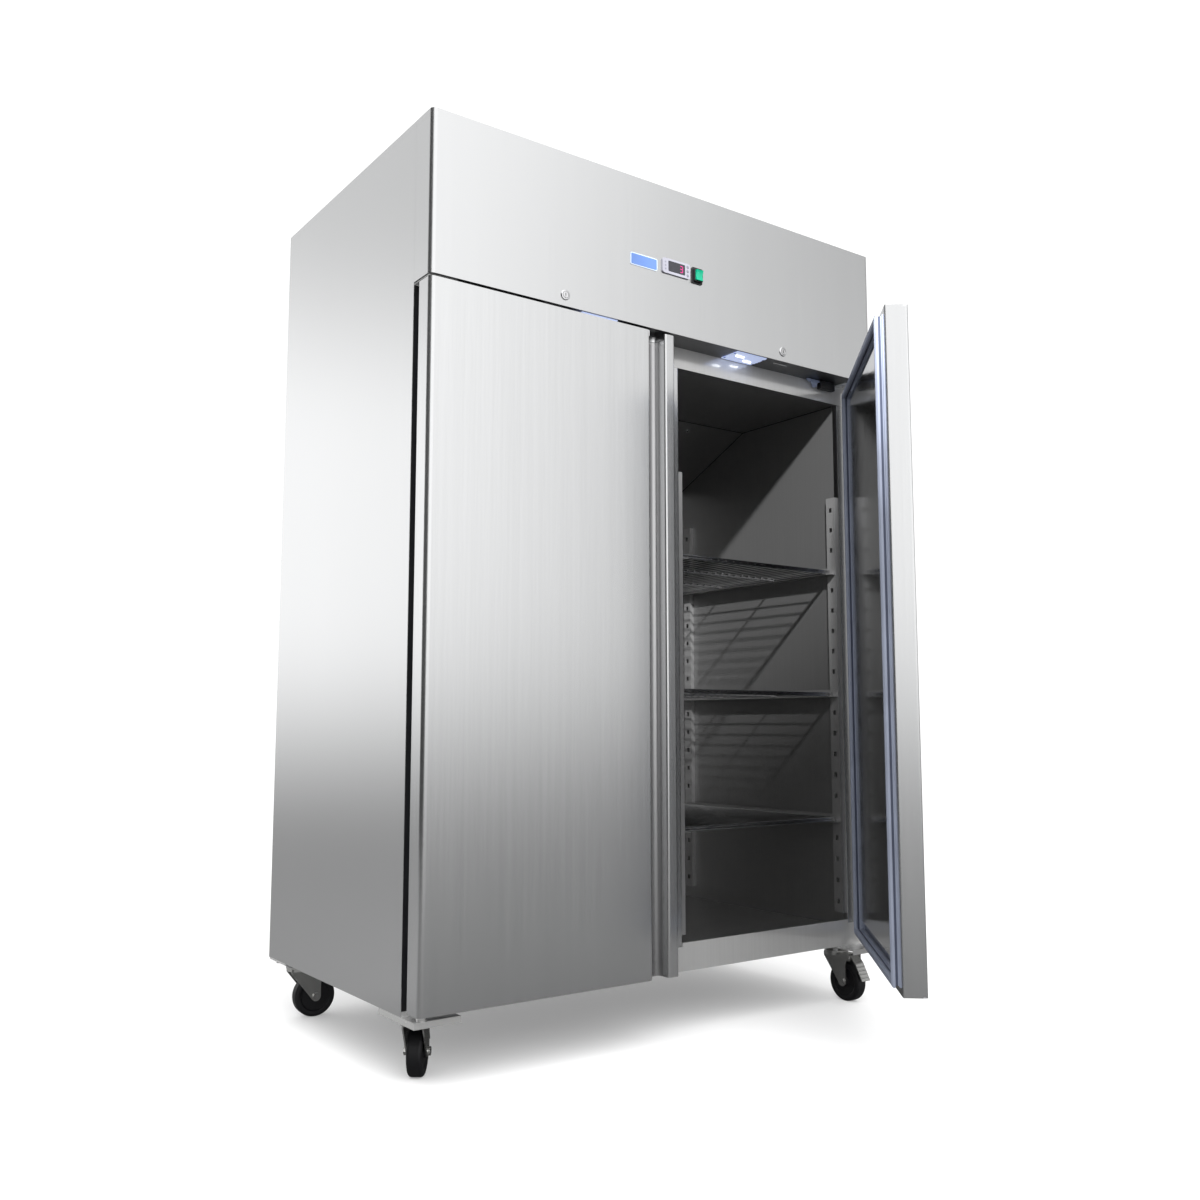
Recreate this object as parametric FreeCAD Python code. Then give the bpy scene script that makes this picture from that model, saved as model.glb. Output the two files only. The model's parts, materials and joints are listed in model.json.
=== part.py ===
# Two-door reach-in refrigerator on castors, built as an assembly of separate pieces.
# Millimetres. +Z is up and +Y runs from the doors to the back. The origin is on the floor, under
# the middle of the cabinet. The left door is closed and the right door stands part open.
import FreeCAD, Part
import math
import os

from FreeCAD import Placement, Rotation, Vector

# ---- driving dimensions ---------------------------------------------------------------------
WIDTH = 1340.0
DEPTH = 806.0
HEIGHT = 1995.0
BODY_BOTTOM = 142.0         # underside of the insulated body
HEADER_BOTTOM = 1637.0      # underside of the machine cover above the doors
DOOR_BOTTOM = 153.0
DOOR_TOP = 1631.0
SHEET = 1.0                 # folded stainless sheet
FACE_DEPTH = 73.0           # from the door fronts back to the frame that the gaskets seal on

BAY_INNER = 50.0            # half width of the mullion
BAY_OUTER = 612.0           # inside face of the side liner
FLOOR = 190.0
CEILING = 1585.0
SILL = 207.0
RAIL_BOTTOM_TOP = 198.0
LINER_BACK = 748.0          # depth of the liner's back wall

DOOR_FREE = 22.0            # free edge of a closed door, from the middle
DOOR_HINGE = 669.0          # hinge edge of a closed door, from the middle
DOOR_THICK = 51.0
HINGE_X = 648.0
HINGE_DEPTH = 28.0
OPEN_ANGLE = 49.0           # how far the right door stands open

SLOT_PITCH = 54.8
SLOT_FIRST = 251.8
SLOT_COUNT = 20
SHELF_SLOTS = (4, 10, 16)   # slots at the height of the three shelf tops
SHELF_FRONT = 92.0
SHELF_DEPTH = 650.0
SHELF_WIDTH = 530.0

CASTOR_X = 615.0
CASTOR_FRONT = 120.0
CASTOR_REAR = 748.0
CASTOR_TOP = 138.0
WHEEL_R = 50.0
TRAIL = 38.0
AXLE_R = 6.0
RUN_FIT = 0.05              # radial clearance of a running fit

HALF_W = WIDTH / 2
FRONT = -DEPTH / 2
BACK = DEPTH / 2
FACE = FRONT + FACE_DEPTH
X_AXIS = Vector(1, 0, 0)
Y_AXIS = Vector(0, 1, 0)
Z_AXIS = Vector(0, 0, 1)
ORIGIN = Vector(0, 0, 0)

os.makedirs("parts", exist_ok=True)


# ---- helpers --------------------------------------------------------------------------------
def deep(depth):
    """Y of a point that lies this far behind the door fronts."""
    return FRONT + depth


def box(x, depth, z):
    """Box from three (low, high) pairs; the second pair is measured back from the door fronts."""
    size = (x[1] - x[0], depth[1] - depth[0], z[1] - z[0])
    return Part.makeBox(*size, Vector(x[0], deep(depth[0]), z[0]))


def cylinder(radius, length, base, axis=Z_AXIS):
    return Part.makeCylinder(radius, length, base, axis)


def joined(pieces):
    """One solid from pieces that touch or overlap."""
    return pieces[0].multiFuse(pieces[1:]).removeSplitter()


def group(pieces):
    """Separate solids kept in one node."""
    return Part.makeCompound(pieces)


def mirrored(shape):
    return shape.mirror(ORIGIN, X_AXIS)


def both_sides(pieces):
    return pieces + [mirrored(piece) for piece in pieces]


def outline(steps):
    """Closed face in the XY plane. A step is a point, or (middle, end) of an arc to the end."""
    start = Vector(*steps[0], 0)
    last = start
    edges = []
    for step in steps[1:] + [steps[0]]:
        if isinstance(step[0], tuple):
            middle = Vector(*step[0], 0)
            end = Vector(*step[1], 0)
            edges.append(Part.Arc(last, middle, end).toShape())
        else:
            end = Vector(*step, 0)
            if last.distanceToPoint(end) > 1e-6:
                edges.append(Part.LineSegment(last, end).toShape())
        last = end
    return Part.Face(Part.Wire(edges))


def raised(face, low, high):
    """Solid from a plan face, between two heights."""
    return face.translated(Vector(0, 0, low)).extrude(Vector(0, 0, high - low))


def on_arc(centre, radius, degrees):
    angle = math.radians(degrees)
    return (centre[0] + radius * math.cos(angle), centre[1] + radius * math.sin(angle))


def save(name, shape):
    shape.exportStep("parts/" + name + ".step")


# ---- outer body -----------------------------------------------------------------------------
TOP_FLANGE = 20.0


def side_panel():
    """Right-hand outer side, with a flange turned in along its top edge."""
    sheet = box((HALF_W - SHEET, HALF_W), (FACE_DEPTH, DEPTH), (BODY_BOTTOM, HEIGHT))
    flange = box((HALF_W - TOP_FLANGE, HALF_W), (FACE_DEPTH, DEPTH), (HEIGHT - SHEET, HEIGHT))
    return joined([sheet, flange])


def back_panel():
    """Outer back, with two banks of air slots behind the machine bay."""
    edge = HALF_W - SHEET
    panel = box((-edge, edge), (DEPTH - SHEET, DEPTH), (BODY_BOTTOM, HEIGHT - SHEET))
    slot_w = 230.0
    slot_h = 8.0
    bank_x = (-290.0, 290.0)
    slots = []
    for row in range(8):
        z = 1800.0 + row * 20.0
        for x in bank_x:
            slots.append(box((x - slot_w / 2, x + slot_w / 2), (DEPTH - 2, DEPTH + 1), (z, z + slot_h)))
    return panel.cut(group(slots))


def base_panel():
    edge = HALF_W - SHEET
    low = BODY_BOTTOM
    return box((-edge, edge), (FACE_DEPTH + SHEET, DEPTH - SHEET), (low, low + SHEET))


EVAP_BOX_X = 341.0
EVAP_BOX_FRONT = 455.0
EVAP_BOX_TOP = 1761.0
DECK = 1645.0
WALL_FOAM = 38.0            # foam round the evaporator


def top_deck():
    """Floor of the machine bay, with the raised housing round the evaporator."""
    edge = HALF_W - SHEET
    back = DEPTH - SHEET
    plate = box((-edge, edge), (FACE_DEPTH + SHEET, back), (DECK, DECK + SHEET))
    house = box((-EVAP_BOX_X, EVAP_BOX_X), (EVAP_BOX_FRONT, back), (DECK, EVAP_BOX_TOP))
    inner_x = EVAP_BOX_X - SHEET
    inner_front = EVAP_BOX_FRONT + SHEET
    hollow = box((-inner_x, inner_x), (inner_front, back + 1), (DECK - 1, EVAP_BOX_TOP - SHEET))
    return joined([plate, house]).cut(hollow)


def face_rails():
    """Rails of the door frame: one under the doors with a raised sill lip, one above."""
    depth = (FACE_DEPTH, FACE_DEPTH + SHEET)
    lip_depth = (FACE_DEPTH, FACE_DEPTH + 3.0)
    lower = box((-HALF_W + SHEET, HALF_W - SHEET), depth, (BODY_BOTTOM, RAIL_BOTTOM_TOP))
    lip = box((BAY_INNER, BAY_OUTER), lip_depth, (RAIL_BOTTOM_TOP - 4, SILL))
    upper = box((-HALF_W + SHEET, HALF_W - SHEET), depth, (CEILING, HEADER_BOTTOM + 60))
    return group([joined([lower, lip, mirrored(lip)]), upper])


def jambs():
    """Sheet uprights of the door frame, outside the openings."""
    jamb = box((BAY_OUTER + SHEET, HALF_W - SHEET), (FACE_DEPTH, FACE_DEPTH + SHEET),
               (RAIL_BOTTOM_TOP, CEILING))
    return group(both_sides([jamb]))


MULLION_DEPTH = 60.0


def mullion_plan():
    """Plan outline of the centre post, with rolled front edges."""
    roll = 5.0
    x = BAY_INNER
    near = deep(FACE_DEPTH)
    far = deep(FACE_DEPTH + MULLION_DEPTH)
    low = (-x + roll, near + roll)
    high = (x - roll, near + roll)
    plan = outline([
        (-x, far), (-x, near + roll),
        (on_arc(low, roll, 225), (-x + roll, near)),
        (x - roll, near),
        (on_arc(high, roll, 315), (x, near + roll)),
        (x, far)])
    return plan


def mullion():
    """Sheet wrap of the centre post."""
    plan = mullion_plan()
    return raised(plan.cut(plan.makeOffset2D(-SHEET)), RAIL_BOTTOM_TOP, CEILING)


def mullion_foam():
    return raised(mullion_plan().makeOffset2D(-SHEET), RAIL_BOTTOM_TOP, CEILING)


# ---- insulation and liner -------------------------------------------------------------------
def cabinet_insulation():
    """Foam slabs between the outer body and the liner, and round the evaporator."""
    side_x = (BAY_OUTER + SHEET, HALF_W - SHEET)
    full = (FACE_DEPTH + SHEET, DEPTH - SHEET)
    between = (FACE_DEPTH + SHEET, LINER_BACK + SHEET)
    bay = BAY_OUTER + SHEET
    low = BODY_BOTTOM + SHEET
    top = DECK
    over = (CEILING + SHEET, top)
    slabs = both_sides([
        box(side_x, full, (low, top)),
        box((EVAP_BOX_X - 40, bay), (EVAP_BOX_FRONT, LINER_BACK + SHEET), over)])
    slabs.append(box((-bay, bay), between, (low, FLOOR - SHEET)))
    slabs.append(box((-bay, bay), (LINER_BACK + SHEET, DEPTH - SHEET), (low, top)))
    slabs.append(box((-bay, bay), (FACE_DEPTH + SHEET, EVAP_BOX_FRONT), over))
    lid_x = EVAP_BOX_X - SHEET
    lid_depth = (EVAP_BOX_FRONT + SHEET, DEPTH - SHEET)
    lid_low = EVAP_BOX_TOP - SHEET - WALL_FOAM
    slabs.append(box((-lid_x, lid_x), lid_depth, (lid_low, EVAP_BOX_TOP - SHEET)))
    wall = (DECK, lid_low)
    slabs += both_sides([box((lid_x - WALL_FOAM, lid_x), lid_depth, wall)])
    front_depth = (EVAP_BOX_FRONT + SHEET, EVAP_BOX_FRONT + 34)
    rear_depth = (DEPTH - SHEET - WALL_FOAM, DEPTH - SHEET)
    for edge_depth in (front_depth, rear_depth):
        slabs.append(box((-lid_x + WALL_FOAM, lid_x - WALL_FOAM), edge_depth, wall))
    slabs.append(mullion_foam())
    return group(slabs)


def liner():
    """Stainless inner tub: two sides, back, floor and the ceiling in front of the air duct."""
    inner = (FACE_DEPTH + SHEET, LINER_BACK)
    wall_x = (BAY_OUTER, BAY_OUTER + SHEET)
    pieces = both_sides([box(wall_x, inner, (FLOOR, CEILING))])
    pieces.append(box((-BAY_OUTER, BAY_OUTER), inner, (FLOOR - SHEET, FLOOR)))
    back = box((-BAY_OUTER, BAY_OUTER), (LINER_BACK, LINER_BACK + SHEET), (FLOOR, CEILING))
    pieces.append(back)
    pieces.append(box((-BAY_OUTER, BAY_OUTER), (FACE_DEPTH + SHEET, DUCT_FRONT), (CEILING, CEILING + SHEET)))
    return group(pieces)


DUCT_FRONT = 449.0
DUCT_DROP = 0.46            # fall of the sloping cover for each millimetre of depth
DUCT_ANGLE = math.degrees(math.atan(DUCT_DROP))
EVAP_FAN_DEPTH = 565.0
EVAP_FAN_R = 84.0


def duct_height(depth):
    return CEILING - (depth - DUCT_FRONT) * DUCT_DROP


def across_duct(shape):
    """Turn a shape built round the origin, facing down, to face out of the sloping cover."""
    shape.Placement = Placement(Vector(0, deep(EVAP_FAN_DEPTH), duct_height(EVAP_FAN_DEPTH)),
                                Rotation(X_AXIS, -DUCT_ANGLE))
    return shape


def air_duct_cover():
    """Sloping sheet under the evaporator, with the fan opening in its middle."""
    far = LINER_BACK - 1.0
    reach = BAY_OUTER - 0.5
    near_z = duct_height(DUCT_FRONT)
    far_z = duct_height(far)
    profile = Part.Face(Part.makePolygon([
        Vector(-reach, deep(DUCT_FRONT), near_z), Vector(-reach, deep(far), far_z),
        Vector(-reach, deep(far), far_z - SHEET), Vector(-reach, deep(DUCT_FRONT), near_z - SHEET),
        Vector(-reach, deep(DUCT_FRONT), near_z)]))
    sheet = profile.extrude(Vector(2 * reach, 0, 0))
    hole = across_duct(cylinder(EVAP_FAN_R + 6, 20, Vector(0, 0, -10)))
    return sheet.cut(hole)


REAR_POST = (684.0, 714.0)


def rear_post():
    """Hollow upright at the back, between the bays, that carries the inner pilasters."""
    top = duct_height(REAR_POST[1]) - 6.0
    x = BAY_INNER
    outer = box((-x, x), REAR_POST, (FLOOR, top))
    inner = box((-x + 2, x - 2), (REAR_POST[0] + 2, REAR_POST[1] - 2), (FLOOR - 1, top + 1))
    return outer.cut(inner)


# ---- shelving -------------------------------------------------------------------------------
PILASTER_DEEP = 13.0
PILASTER_WALL = 1.5
PILASTER_LOW = 224.0
PILASTER_HIGH = 1327.0
FRONT_PILASTER = (78.0, 108.0)
BAR_H = 12.0
SHELF_INSET = (BAY_OUTER - BAY_INNER - SHELF_WIDTH) / 2
SHELF_TOPS = [SLOT_FIRST + SLOT_PITCH * slot for slot in SHELF_SLOTS]


def pilaster(wall_x, into_bay, depth):
    """Slotted channel on a wall; its web faces into the bay."""
    web_x = wall_x + into_bay * PILASTER_DEEP
    x = (min(wall_x, web_x), max(wall_x, web_x))
    body = box(x, depth, (PILASTER_LOW, PILASTER_HIGH))
    hollow_end = web_x - into_bay * PILASTER_WALL
    hollow_x = (min(wall_x - into_bay, hollow_end), max(wall_x - into_bay, hollow_end))
    hollow_depth = (depth[0] + PILASTER_WALL, depth[1] - PILASTER_WALL)
    body = body.cut(box(hollow_x, hollow_depth, (PILASTER_LOW - 1, PILASTER_HIGH + 1)))
    middle = (depth[0] + depth[1]) / 2
    slot_x = (web_x - 3, web_x + 3)
    slots = []
    for number in range(SLOT_COUNT):
        z = SLOT_FIRST + SLOT_PITCH * number
        slots.append(box(slot_x, (middle - 5, middle + 5), (z - 6, z + 6)))
    return body.cut(group(slots))


def pilasters():
    right_bay = []
    for depth in (FRONT_PILASTER, REAR_POST):
        right_bay.append(pilaster(BAY_OUTER, -1, depth))
        right_bay.append(pilaster(BAY_INNER, 1, depth))
    return group(both_sides(right_bay))


def shelf_runners():
    """Angle rails hooked between the front and rear pilasters, one pair under each shelf."""
    run = (FRONT_PILASTER[0] + 1, REAR_POST[1] - 1)
    rails = []
    for top in SHELF_TOPS:
        seat = top - BAR_H
        for face, side in ((BAY_INNER + PILASTER_DEEP, 1), (BAY_OUTER - PILASTER_DEEP, -1)):
            thick = face + side * 1.5
            tip = face + side * 20.0
            upright_x = (min(face, thick), max(face, thick))
            seat_x = (min(face, tip), max(face, tip))
            upright = box(upright_x, run, (seat - 1.5, top + 6))
            ledge = box(seat_x, run, (seat - 1.5, seat))
            rails.append(joined([upright, ledge]))
    return group(both_sides(rails))


def shelf(top):
    """Wire grid with a flat-bar frame, for the right-hand bay."""
    bar = 4.0
    wire_r = 2.0
    wires = 20
    x = (BAY_INNER + SHELF_INSET, BAY_OUTER - SHELF_INSET)
    depth = (SHELF_FRONT, SHELF_FRONT + SHELF_DEPTH)
    z = (top - BAR_H, top)
    pieces = [
        box(x, (depth[0], depth[0] + bar), z),
        box(x, (depth[1] - bar, depth[1]), z),
        box((x[0], x[0] + bar), depth, z),
        box((x[1] - bar, x[1]), depth, z)]
    for share in (1 / 3, 2 / 3):
        middle = depth[0] + SHELF_DEPTH * share
        pieces.append(box(x, (middle - 2, middle + 2), (top - 9, top - 3)))
    pitch = (SHELF_WIDTH - bar) / (wires + 1)
    for number in range(wires):
        centre = x[0] + bar / 2 + pitch * (number + 1)
        start = Vector(centre, deep(depth[0] + 1), top - wire_r)
        pieces.append(cylinder(wire_r, SHELF_DEPTH - 2, start, Y_AXIS))
    return joined(pieces)


def shelves():
    lowest = shelf(SHELF_TOPS[0])
    return [lowest.translated(Vector(0, 0, top - SHELF_TOPS[0])) for top in SHELF_TOPS]


# ---- header with its controls ---------------------------------------------------------------
LOCK_X = 336.0
LOCK_Z = 1662.0
LOCK_R = 7.0
LOCK_CASE_R = 9.5
LOCK_SLOT_DEPTH = 24.0      # where the lock's tongue turns, behind the door fronts
TONGUE = 37.0
LAMP_X = (186.0, 285.0)
LAMP_DEPTH = (6.0, 68.0)
PANEL_Z = (1780.0, 1817.0)  # height of the temperature controller
PANEL_X = (-60.0, 25.0)
SWITCH_X = (32.0, 64.0)
SWITCH_Z = (1775.0, 1815.0)


EDGE_ROLL = 12.0            # radius of the upright front edges of the header and the doors


def header_plan(inset, far):
    """Plan of the header's sheet at this inset, from one return round the rolled front edges."""
    roll = EDGE_ROLL - inset
    x = HALF_W - inset
    near = FRONT + inset
    left = (-x + roll, near + roll)
    right = (x - roll, near + roll)
    return outline([
        (-x, far), (-x, near + roll),
        (on_arc(left, roll, 225), (-x + roll, near)),
        (x - roll, near),
        (on_arc(right, roll, 315), (x, near + roll)),
        (x, far)])


def header_cover():
    """Folded cover in front of the machine bay: face, two returns, a floor and a top lip."""
    x = HALF_W
    outer = raised(header_plan(0.0, FACE), HEADER_BOTTOM, HEIGHT)
    hollow = raised(header_plan(SHEET, FACE + 1), HEADER_BOTTOM + SHEET, HEIGHT - SHEET)
    open_top = box((-x + 30, x - 30), (25, FACE_DEPTH + 1), (HEIGHT - 5, HEIGHT + 5))
    shell = outer.cut(hollow).cut(open_top)
    holes = []
    for sign in (-1, 1):
        holes.append(cylinder(LOCK_CASE_R + 0.2, 20, Vector(sign * LOCK_X, FRONT - 5, LOCK_Z), Y_AXIS))
        slot_x = sorted((sign * (LOCK_X - 10), sign * (LOCK_X + 38)))
        slot_depth = (LOCK_SLOT_DEPTH - 3.5, LOCK_SLOT_DEPTH + 3.5)
        holes.append(box(slot_x, slot_depth, (HEADER_BOTTOM - 2, HEADER_BOTTOM + 4)))
        lamp_x = sorted((sign * (LAMP_X[0] + 3), sign * (LAMP_X[1] - 3)))
        lamp_depth = (LAMP_DEPTH[0] + 3, LAMP_DEPTH[1] - 3)
        holes.append(box(lamp_x, lamp_depth, (HEADER_BOTTOM - 2, HEADER_BOTTOM + 4)))
    holes.append(box((PANEL_X[0] + 3, PANEL_X[1] - 3), (-2, 6), (PANEL_Z[0] + 4, PANEL_Z[1] - 4)))
    holes.append(box((SWITCH_X[0] + 3, SWITCH_X[1] - 3), (-2, 6), (SWITCH_Z[0] + 4, SWITCH_Z[1] - 4)))
    return shell.cut(group(holes))


def rounded_plate(x, z, depth, radius):
    """Plate in the header's face with rounded corners, from its (low, high) pairs."""
    plate = box(x, depth, z)
    corners = [edge for edge in plate.Edges
               if abs(edge.tangentAt(edge.FirstParameter).y) > 0.99]
    return plate.makeFillet(radius, corners)


def badge_plate():
    """Blank nameplate fixed to the header."""
    return rounded_plate((-154, -74), (1778, 1808), (-1.6, 0), 4.0)


KEY_X = 17.0
KEY_R = 3.2
KEY_Z = {"key_up": 1809.0, "key_set": 1798.5, "key_down": 1788.0}
DISPLAY_X = (-43.0, 9.0)
DISPLAY_Z = (1786.0, 1812.0)
BEZEL_PROUD = 4.0


def controller_bezel():
    """Controller body: a raised front frame, and the case behind the header's face."""
    frame = rounded_plate(PANEL_X, PANEL_Z, (-BEZEL_PROUD, 0), 6.0)
    case = box((PANEL_X[0] + 6, PANEL_X[1] - 6), (0, 55), (PANEL_Z[0] + 5, PANEL_Z[1] - 5))
    body = joined([frame, case])
    window = rounded_plate(DISPLAY_X, DISPLAY_Z, (-BEZEL_PROUD - 1, -1.0), 2.0)
    wells = [window]
    for z in KEY_Z.values():
        wells.append(cylinder(KEY_R + 0.35, 9, Vector(KEY_X, FRONT - BEZEL_PROUD - 1, z), Y_AXIS))
    return body.cut(group(wells))


def controller_display():
    return rounded_plate((DISPLAY_X[0] + 0.1, DISPLAY_X[1] - 0.1),
                         (DISPLAY_Z[0] + 0.1, DISPLAY_Z[1] - 0.1), (-BEZEL_PROUD + 0.4, -1.0), 1.9)


def key(z):
    """Round push key, standing a little proud of the bezel."""
    start = Vector(KEY_X, FRONT - BEZEL_PROUD - 0.9, z)
    return cylinder(KEY_R, 4.4, start, Y_AXIS)


ROCKER_HALF_X = 10.0
ROCKER_HALF_Z = 12.5
ROCKER_DEPTH = -4.0         # depth of the rocker's axis; it lies in front of the header
ROCKER_TILT = 7.0           # the rocker rests this far either way from its middle
TRUNNION_R = 1.5
SWITCH_PROUD = 9.0
SWITCH_MID_X = (SWITCH_X[0] + SWITCH_X[1]) / 2
SWITCH_MID_Z = (SWITCH_Z[0] + SWITCH_Z[1]) / 2


def switch_bezel():
    """Black mounting block of the mains switch, with a raised collar round the rocker."""
    flange = rounded_plate(SWITCH_X, SWITCH_Z, (-3.0, 0), 3.0)
    collar_x = (SWITCH_MID_X - 13, SWITCH_MID_X + 13)
    collar_z = (SWITCH_MID_Z - 16, SWITCH_MID_Z + 16)
    collar = rounded_plate(collar_x, collar_z, (-SWITCH_PROUD, 0), 3.0)
    case = box((SWITCH_X[0] + 4, SWITCH_X[1] - 4), (0, 26), (SWITCH_Z[0] + 5, SWITCH_Z[1] - 5))
    well_x = (SWITCH_MID_X - ROCKER_HALF_X - 0.6, SWITCH_MID_X + ROCKER_HALF_X + 0.6)
    well_z = (SWITCH_MID_Z - ROCKER_HALF_Z - 1.6, SWITCH_MID_Z + ROCKER_HALF_Z + 1.6)
    well = box(well_x, (-SWITCH_PROUD - 1, 10), well_z)
    pivot_start = Vector(SWITCH_MID_X - 12.5, deep(ROCKER_DEPTH), SWITCH_MID_Z)
    pivots = cylinder(TRUNNION_R + RUN_FIT, 25, pivot_start, X_AXIS)
    return joined([flange, collar, case]).cut(well).cut(pivots)


def rocker():
    """Rocker cap with a shallow vee front, tilted on its two trunnions to its rest position."""
    near = deep(-SWITCH_PROUD - 5.0)
    mid = deep(-SWITCH_PROUD - 2.0)
    far = deep(4.0)
    low = SWITCH_MID_Z - ROCKER_HALF_Z
    high = SWITCH_MID_Z + ROCKER_HALF_Z
    left = SWITCH_MID_X - ROCKER_HALF_X
    profile = Part.Face(Part.makePolygon([
        Vector(left, far, low + 5), Vector(left, deep(-SWITCH_PROUD + 4), low),
        Vector(left, near, low), Vector(left, mid, SWITCH_MID_Z), Vector(left, near, high),
        Vector(left, deep(-SWITCH_PROUD + 4), high), Vector(left, far, high - 5),
        Vector(left, far, low + 5)]))
    cap = profile.extrude(Vector(2 * ROCKER_HALF_X, 0, 0))
    axis_point = Vector(SWITCH_MID_X - 12, deep(ROCKER_DEPTH), SWITCH_MID_Z)
    cap = joined([cap, cylinder(TRUNNION_R, 24, axis_point, X_AXIS)])
    cap.rotate(axis_point, X_AXIS, ROCKER_TILT)
    return cap


def lock_case(sign):
    """Fixed lock housing: a flange on the header's face and a threaded body behind it."""
    centre = Vector(sign * LOCK_X, FRONT, LOCK_Z)
    flange = cylinder(12.0, 2.0, centre - Y_AXIS * 2.0, Y_AXIS)
    body = cylinder(LOCK_CASE_R, 20.0, centre, Y_AXIS)
    bore = cylinder(LOCK_R + RUN_FIT, 30.0, centre - Y_AXIS * 5.0, Y_AXIS)
    return joined([flange, body]).cut(bore)


def lock_rotor(sign):
    """Turning plug with its key slit and the tongue that drops into the door's top edge."""
    centre = Vector(sign * LOCK_X, FRONT, LOCK_Z)
    plug = cylinder(LOCK_R, LOCK_SLOT_DEPTH + 3.0, centre - Y_AXIS * 3.0, Y_AXIS)
    slit = box((sign * LOCK_X - 0.9, sign * LOCK_X + 0.9), (-4, 2), (LOCK_Z - 4, LOCK_Z + 4))
    tongue_x = sorted((sign * (LOCK_X - 8), sign * (LOCK_X + TONGUE)))
    tongue = box(tongue_x, (LOCK_SLOT_DEPTH - 1.5, LOCK_SLOT_DEPTH + 1.5), (LOCK_Z - 6, LOCK_Z + 6))
    round_end = cylinder(TONGUE, 3.0, centre + Y_AXIS * (LOCK_SLOT_DEPTH - 1.5), Y_AXIS)
    return joined([plug.cut(slit), tongue.common(round_end)])


def lamp_housing():
    """Tray of the cabinet lamp, let into the header's floor over a bay."""
    x = (LAMP_X[0] + 4, LAMP_X[1] - 4)
    depth = (LAMP_DEPTH[0] + 4, LAMP_DEPTH[1] - 4)
    tray = box(x, depth, (HEADER_BOTTOM, HEADER_BOTTOM + 22))
    hollow = box((x[0] + 2, x[1] - 2), (depth[0] + 2, depth[1] - 2), (HEADER_BOTTOM - 1, HEADER_BOTTOM + 20))
    return group(both_sides([tray.cut(hollow)]))


def lamp_diffuser():
    """Shallow translucent lens clipped over the tray."""
    lens = box(LAMP_X, LAMP_DEPTH, (HEADER_BOTTOM - 3.0, HEADER_BOTTOM))
    rim = [edge for edge in lens.Edges if edge.BoundBox.ZMax < HEADER_BOTTOM - 2.9]
    return group(both_sides([lens.makeChamfer(1.5, rim)]))


SENSOR_DEPTH = (56.0, 70.0)


def door_switch():
    """Door sensor above the right door's gasket: a case, and a winged cap beside it."""
    case = box((534, 588), SENSOR_DEPTH, (1615.5, 1636.8))
    near = deep(SENSOR_DEPTH[0] + 2)
    cap = Part.Face(Part.makePolygon([
        Vector(487, near, 1636), Vector(495, near, 1630), Vector(506, near, 1629),
        Vector(513, near, 1616), Vector(519, near, 1616), Vector(525, near, 1629),
        Vector(533, near, 1631), Vector(531, near, 1636), Vector(487, near, 1636)]))
    return [case, cap.extrude(Vector(0, 9, 0))]


# ---- refrigeration unit ---------------------------------------------------------------------
COMPRESSOR_X = -420.0
COMPRESSOR_DEPTH = 270.0
POT_TOP = 1814.2            # top of the compressor's pot, where the copper lines leave it
FAN_X = 60.0
FAN_Z = 1800.0
FAN_R = 105.0
COIL_DEPTH = (120.0, 185.0)


def compressor():
    """Hermetic pot on a foot plate with four rubber feet, and its terminal cover."""
    centre = Vector(COMPRESSOR_X, deep(COMPRESSOR_DEPTH), DECK + SHEET)
    feet = []
    for dx in (-85, 85):
        for dy in (-60, 60):
            feet.append(cylinder(12, 14, centre + Vector(dx, dy, 0)))
    plate = box((COMPRESSOR_X - 105, COMPRESSOR_X + 105),
                (COMPRESSOR_DEPTH - 80, COMPRESSOR_DEPTH + 80), (centre.z + 14, centre.z + 18))
    pot = cylinder(84, POT_TOP - DECK - SHEET - 18, centre + Vector(0, 0, 18))
    pot_edges = [edge for edge in pot.Edges if edge.Length > 100]
    pot = pot.makeFillet(26, pot_edges)
    seam = cylinder(87, 6, centre + Vector(0, 0, 82))
    cover = box((COMPRESSOR_X + 70, COMPRESSOR_X + 115),
                (COMPRESSOR_DEPTH - 35, COMPRESSOR_DEPTH + 35), (DECK + 60, DECK + 125))
    return joined(feet + [plate, pot, seam, cover])


def pipe(points, radius):
    """Copper line of straight runs with ball corners."""
    pieces = []
    for start, end in zip(points, points[1:]):
        run = end - start
        pieces.append(cylinder(radius, run.Length, start, run))
        pieces.append(Part.makeSphere(radius, end))
    return joined(pieces[:-1])


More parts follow.
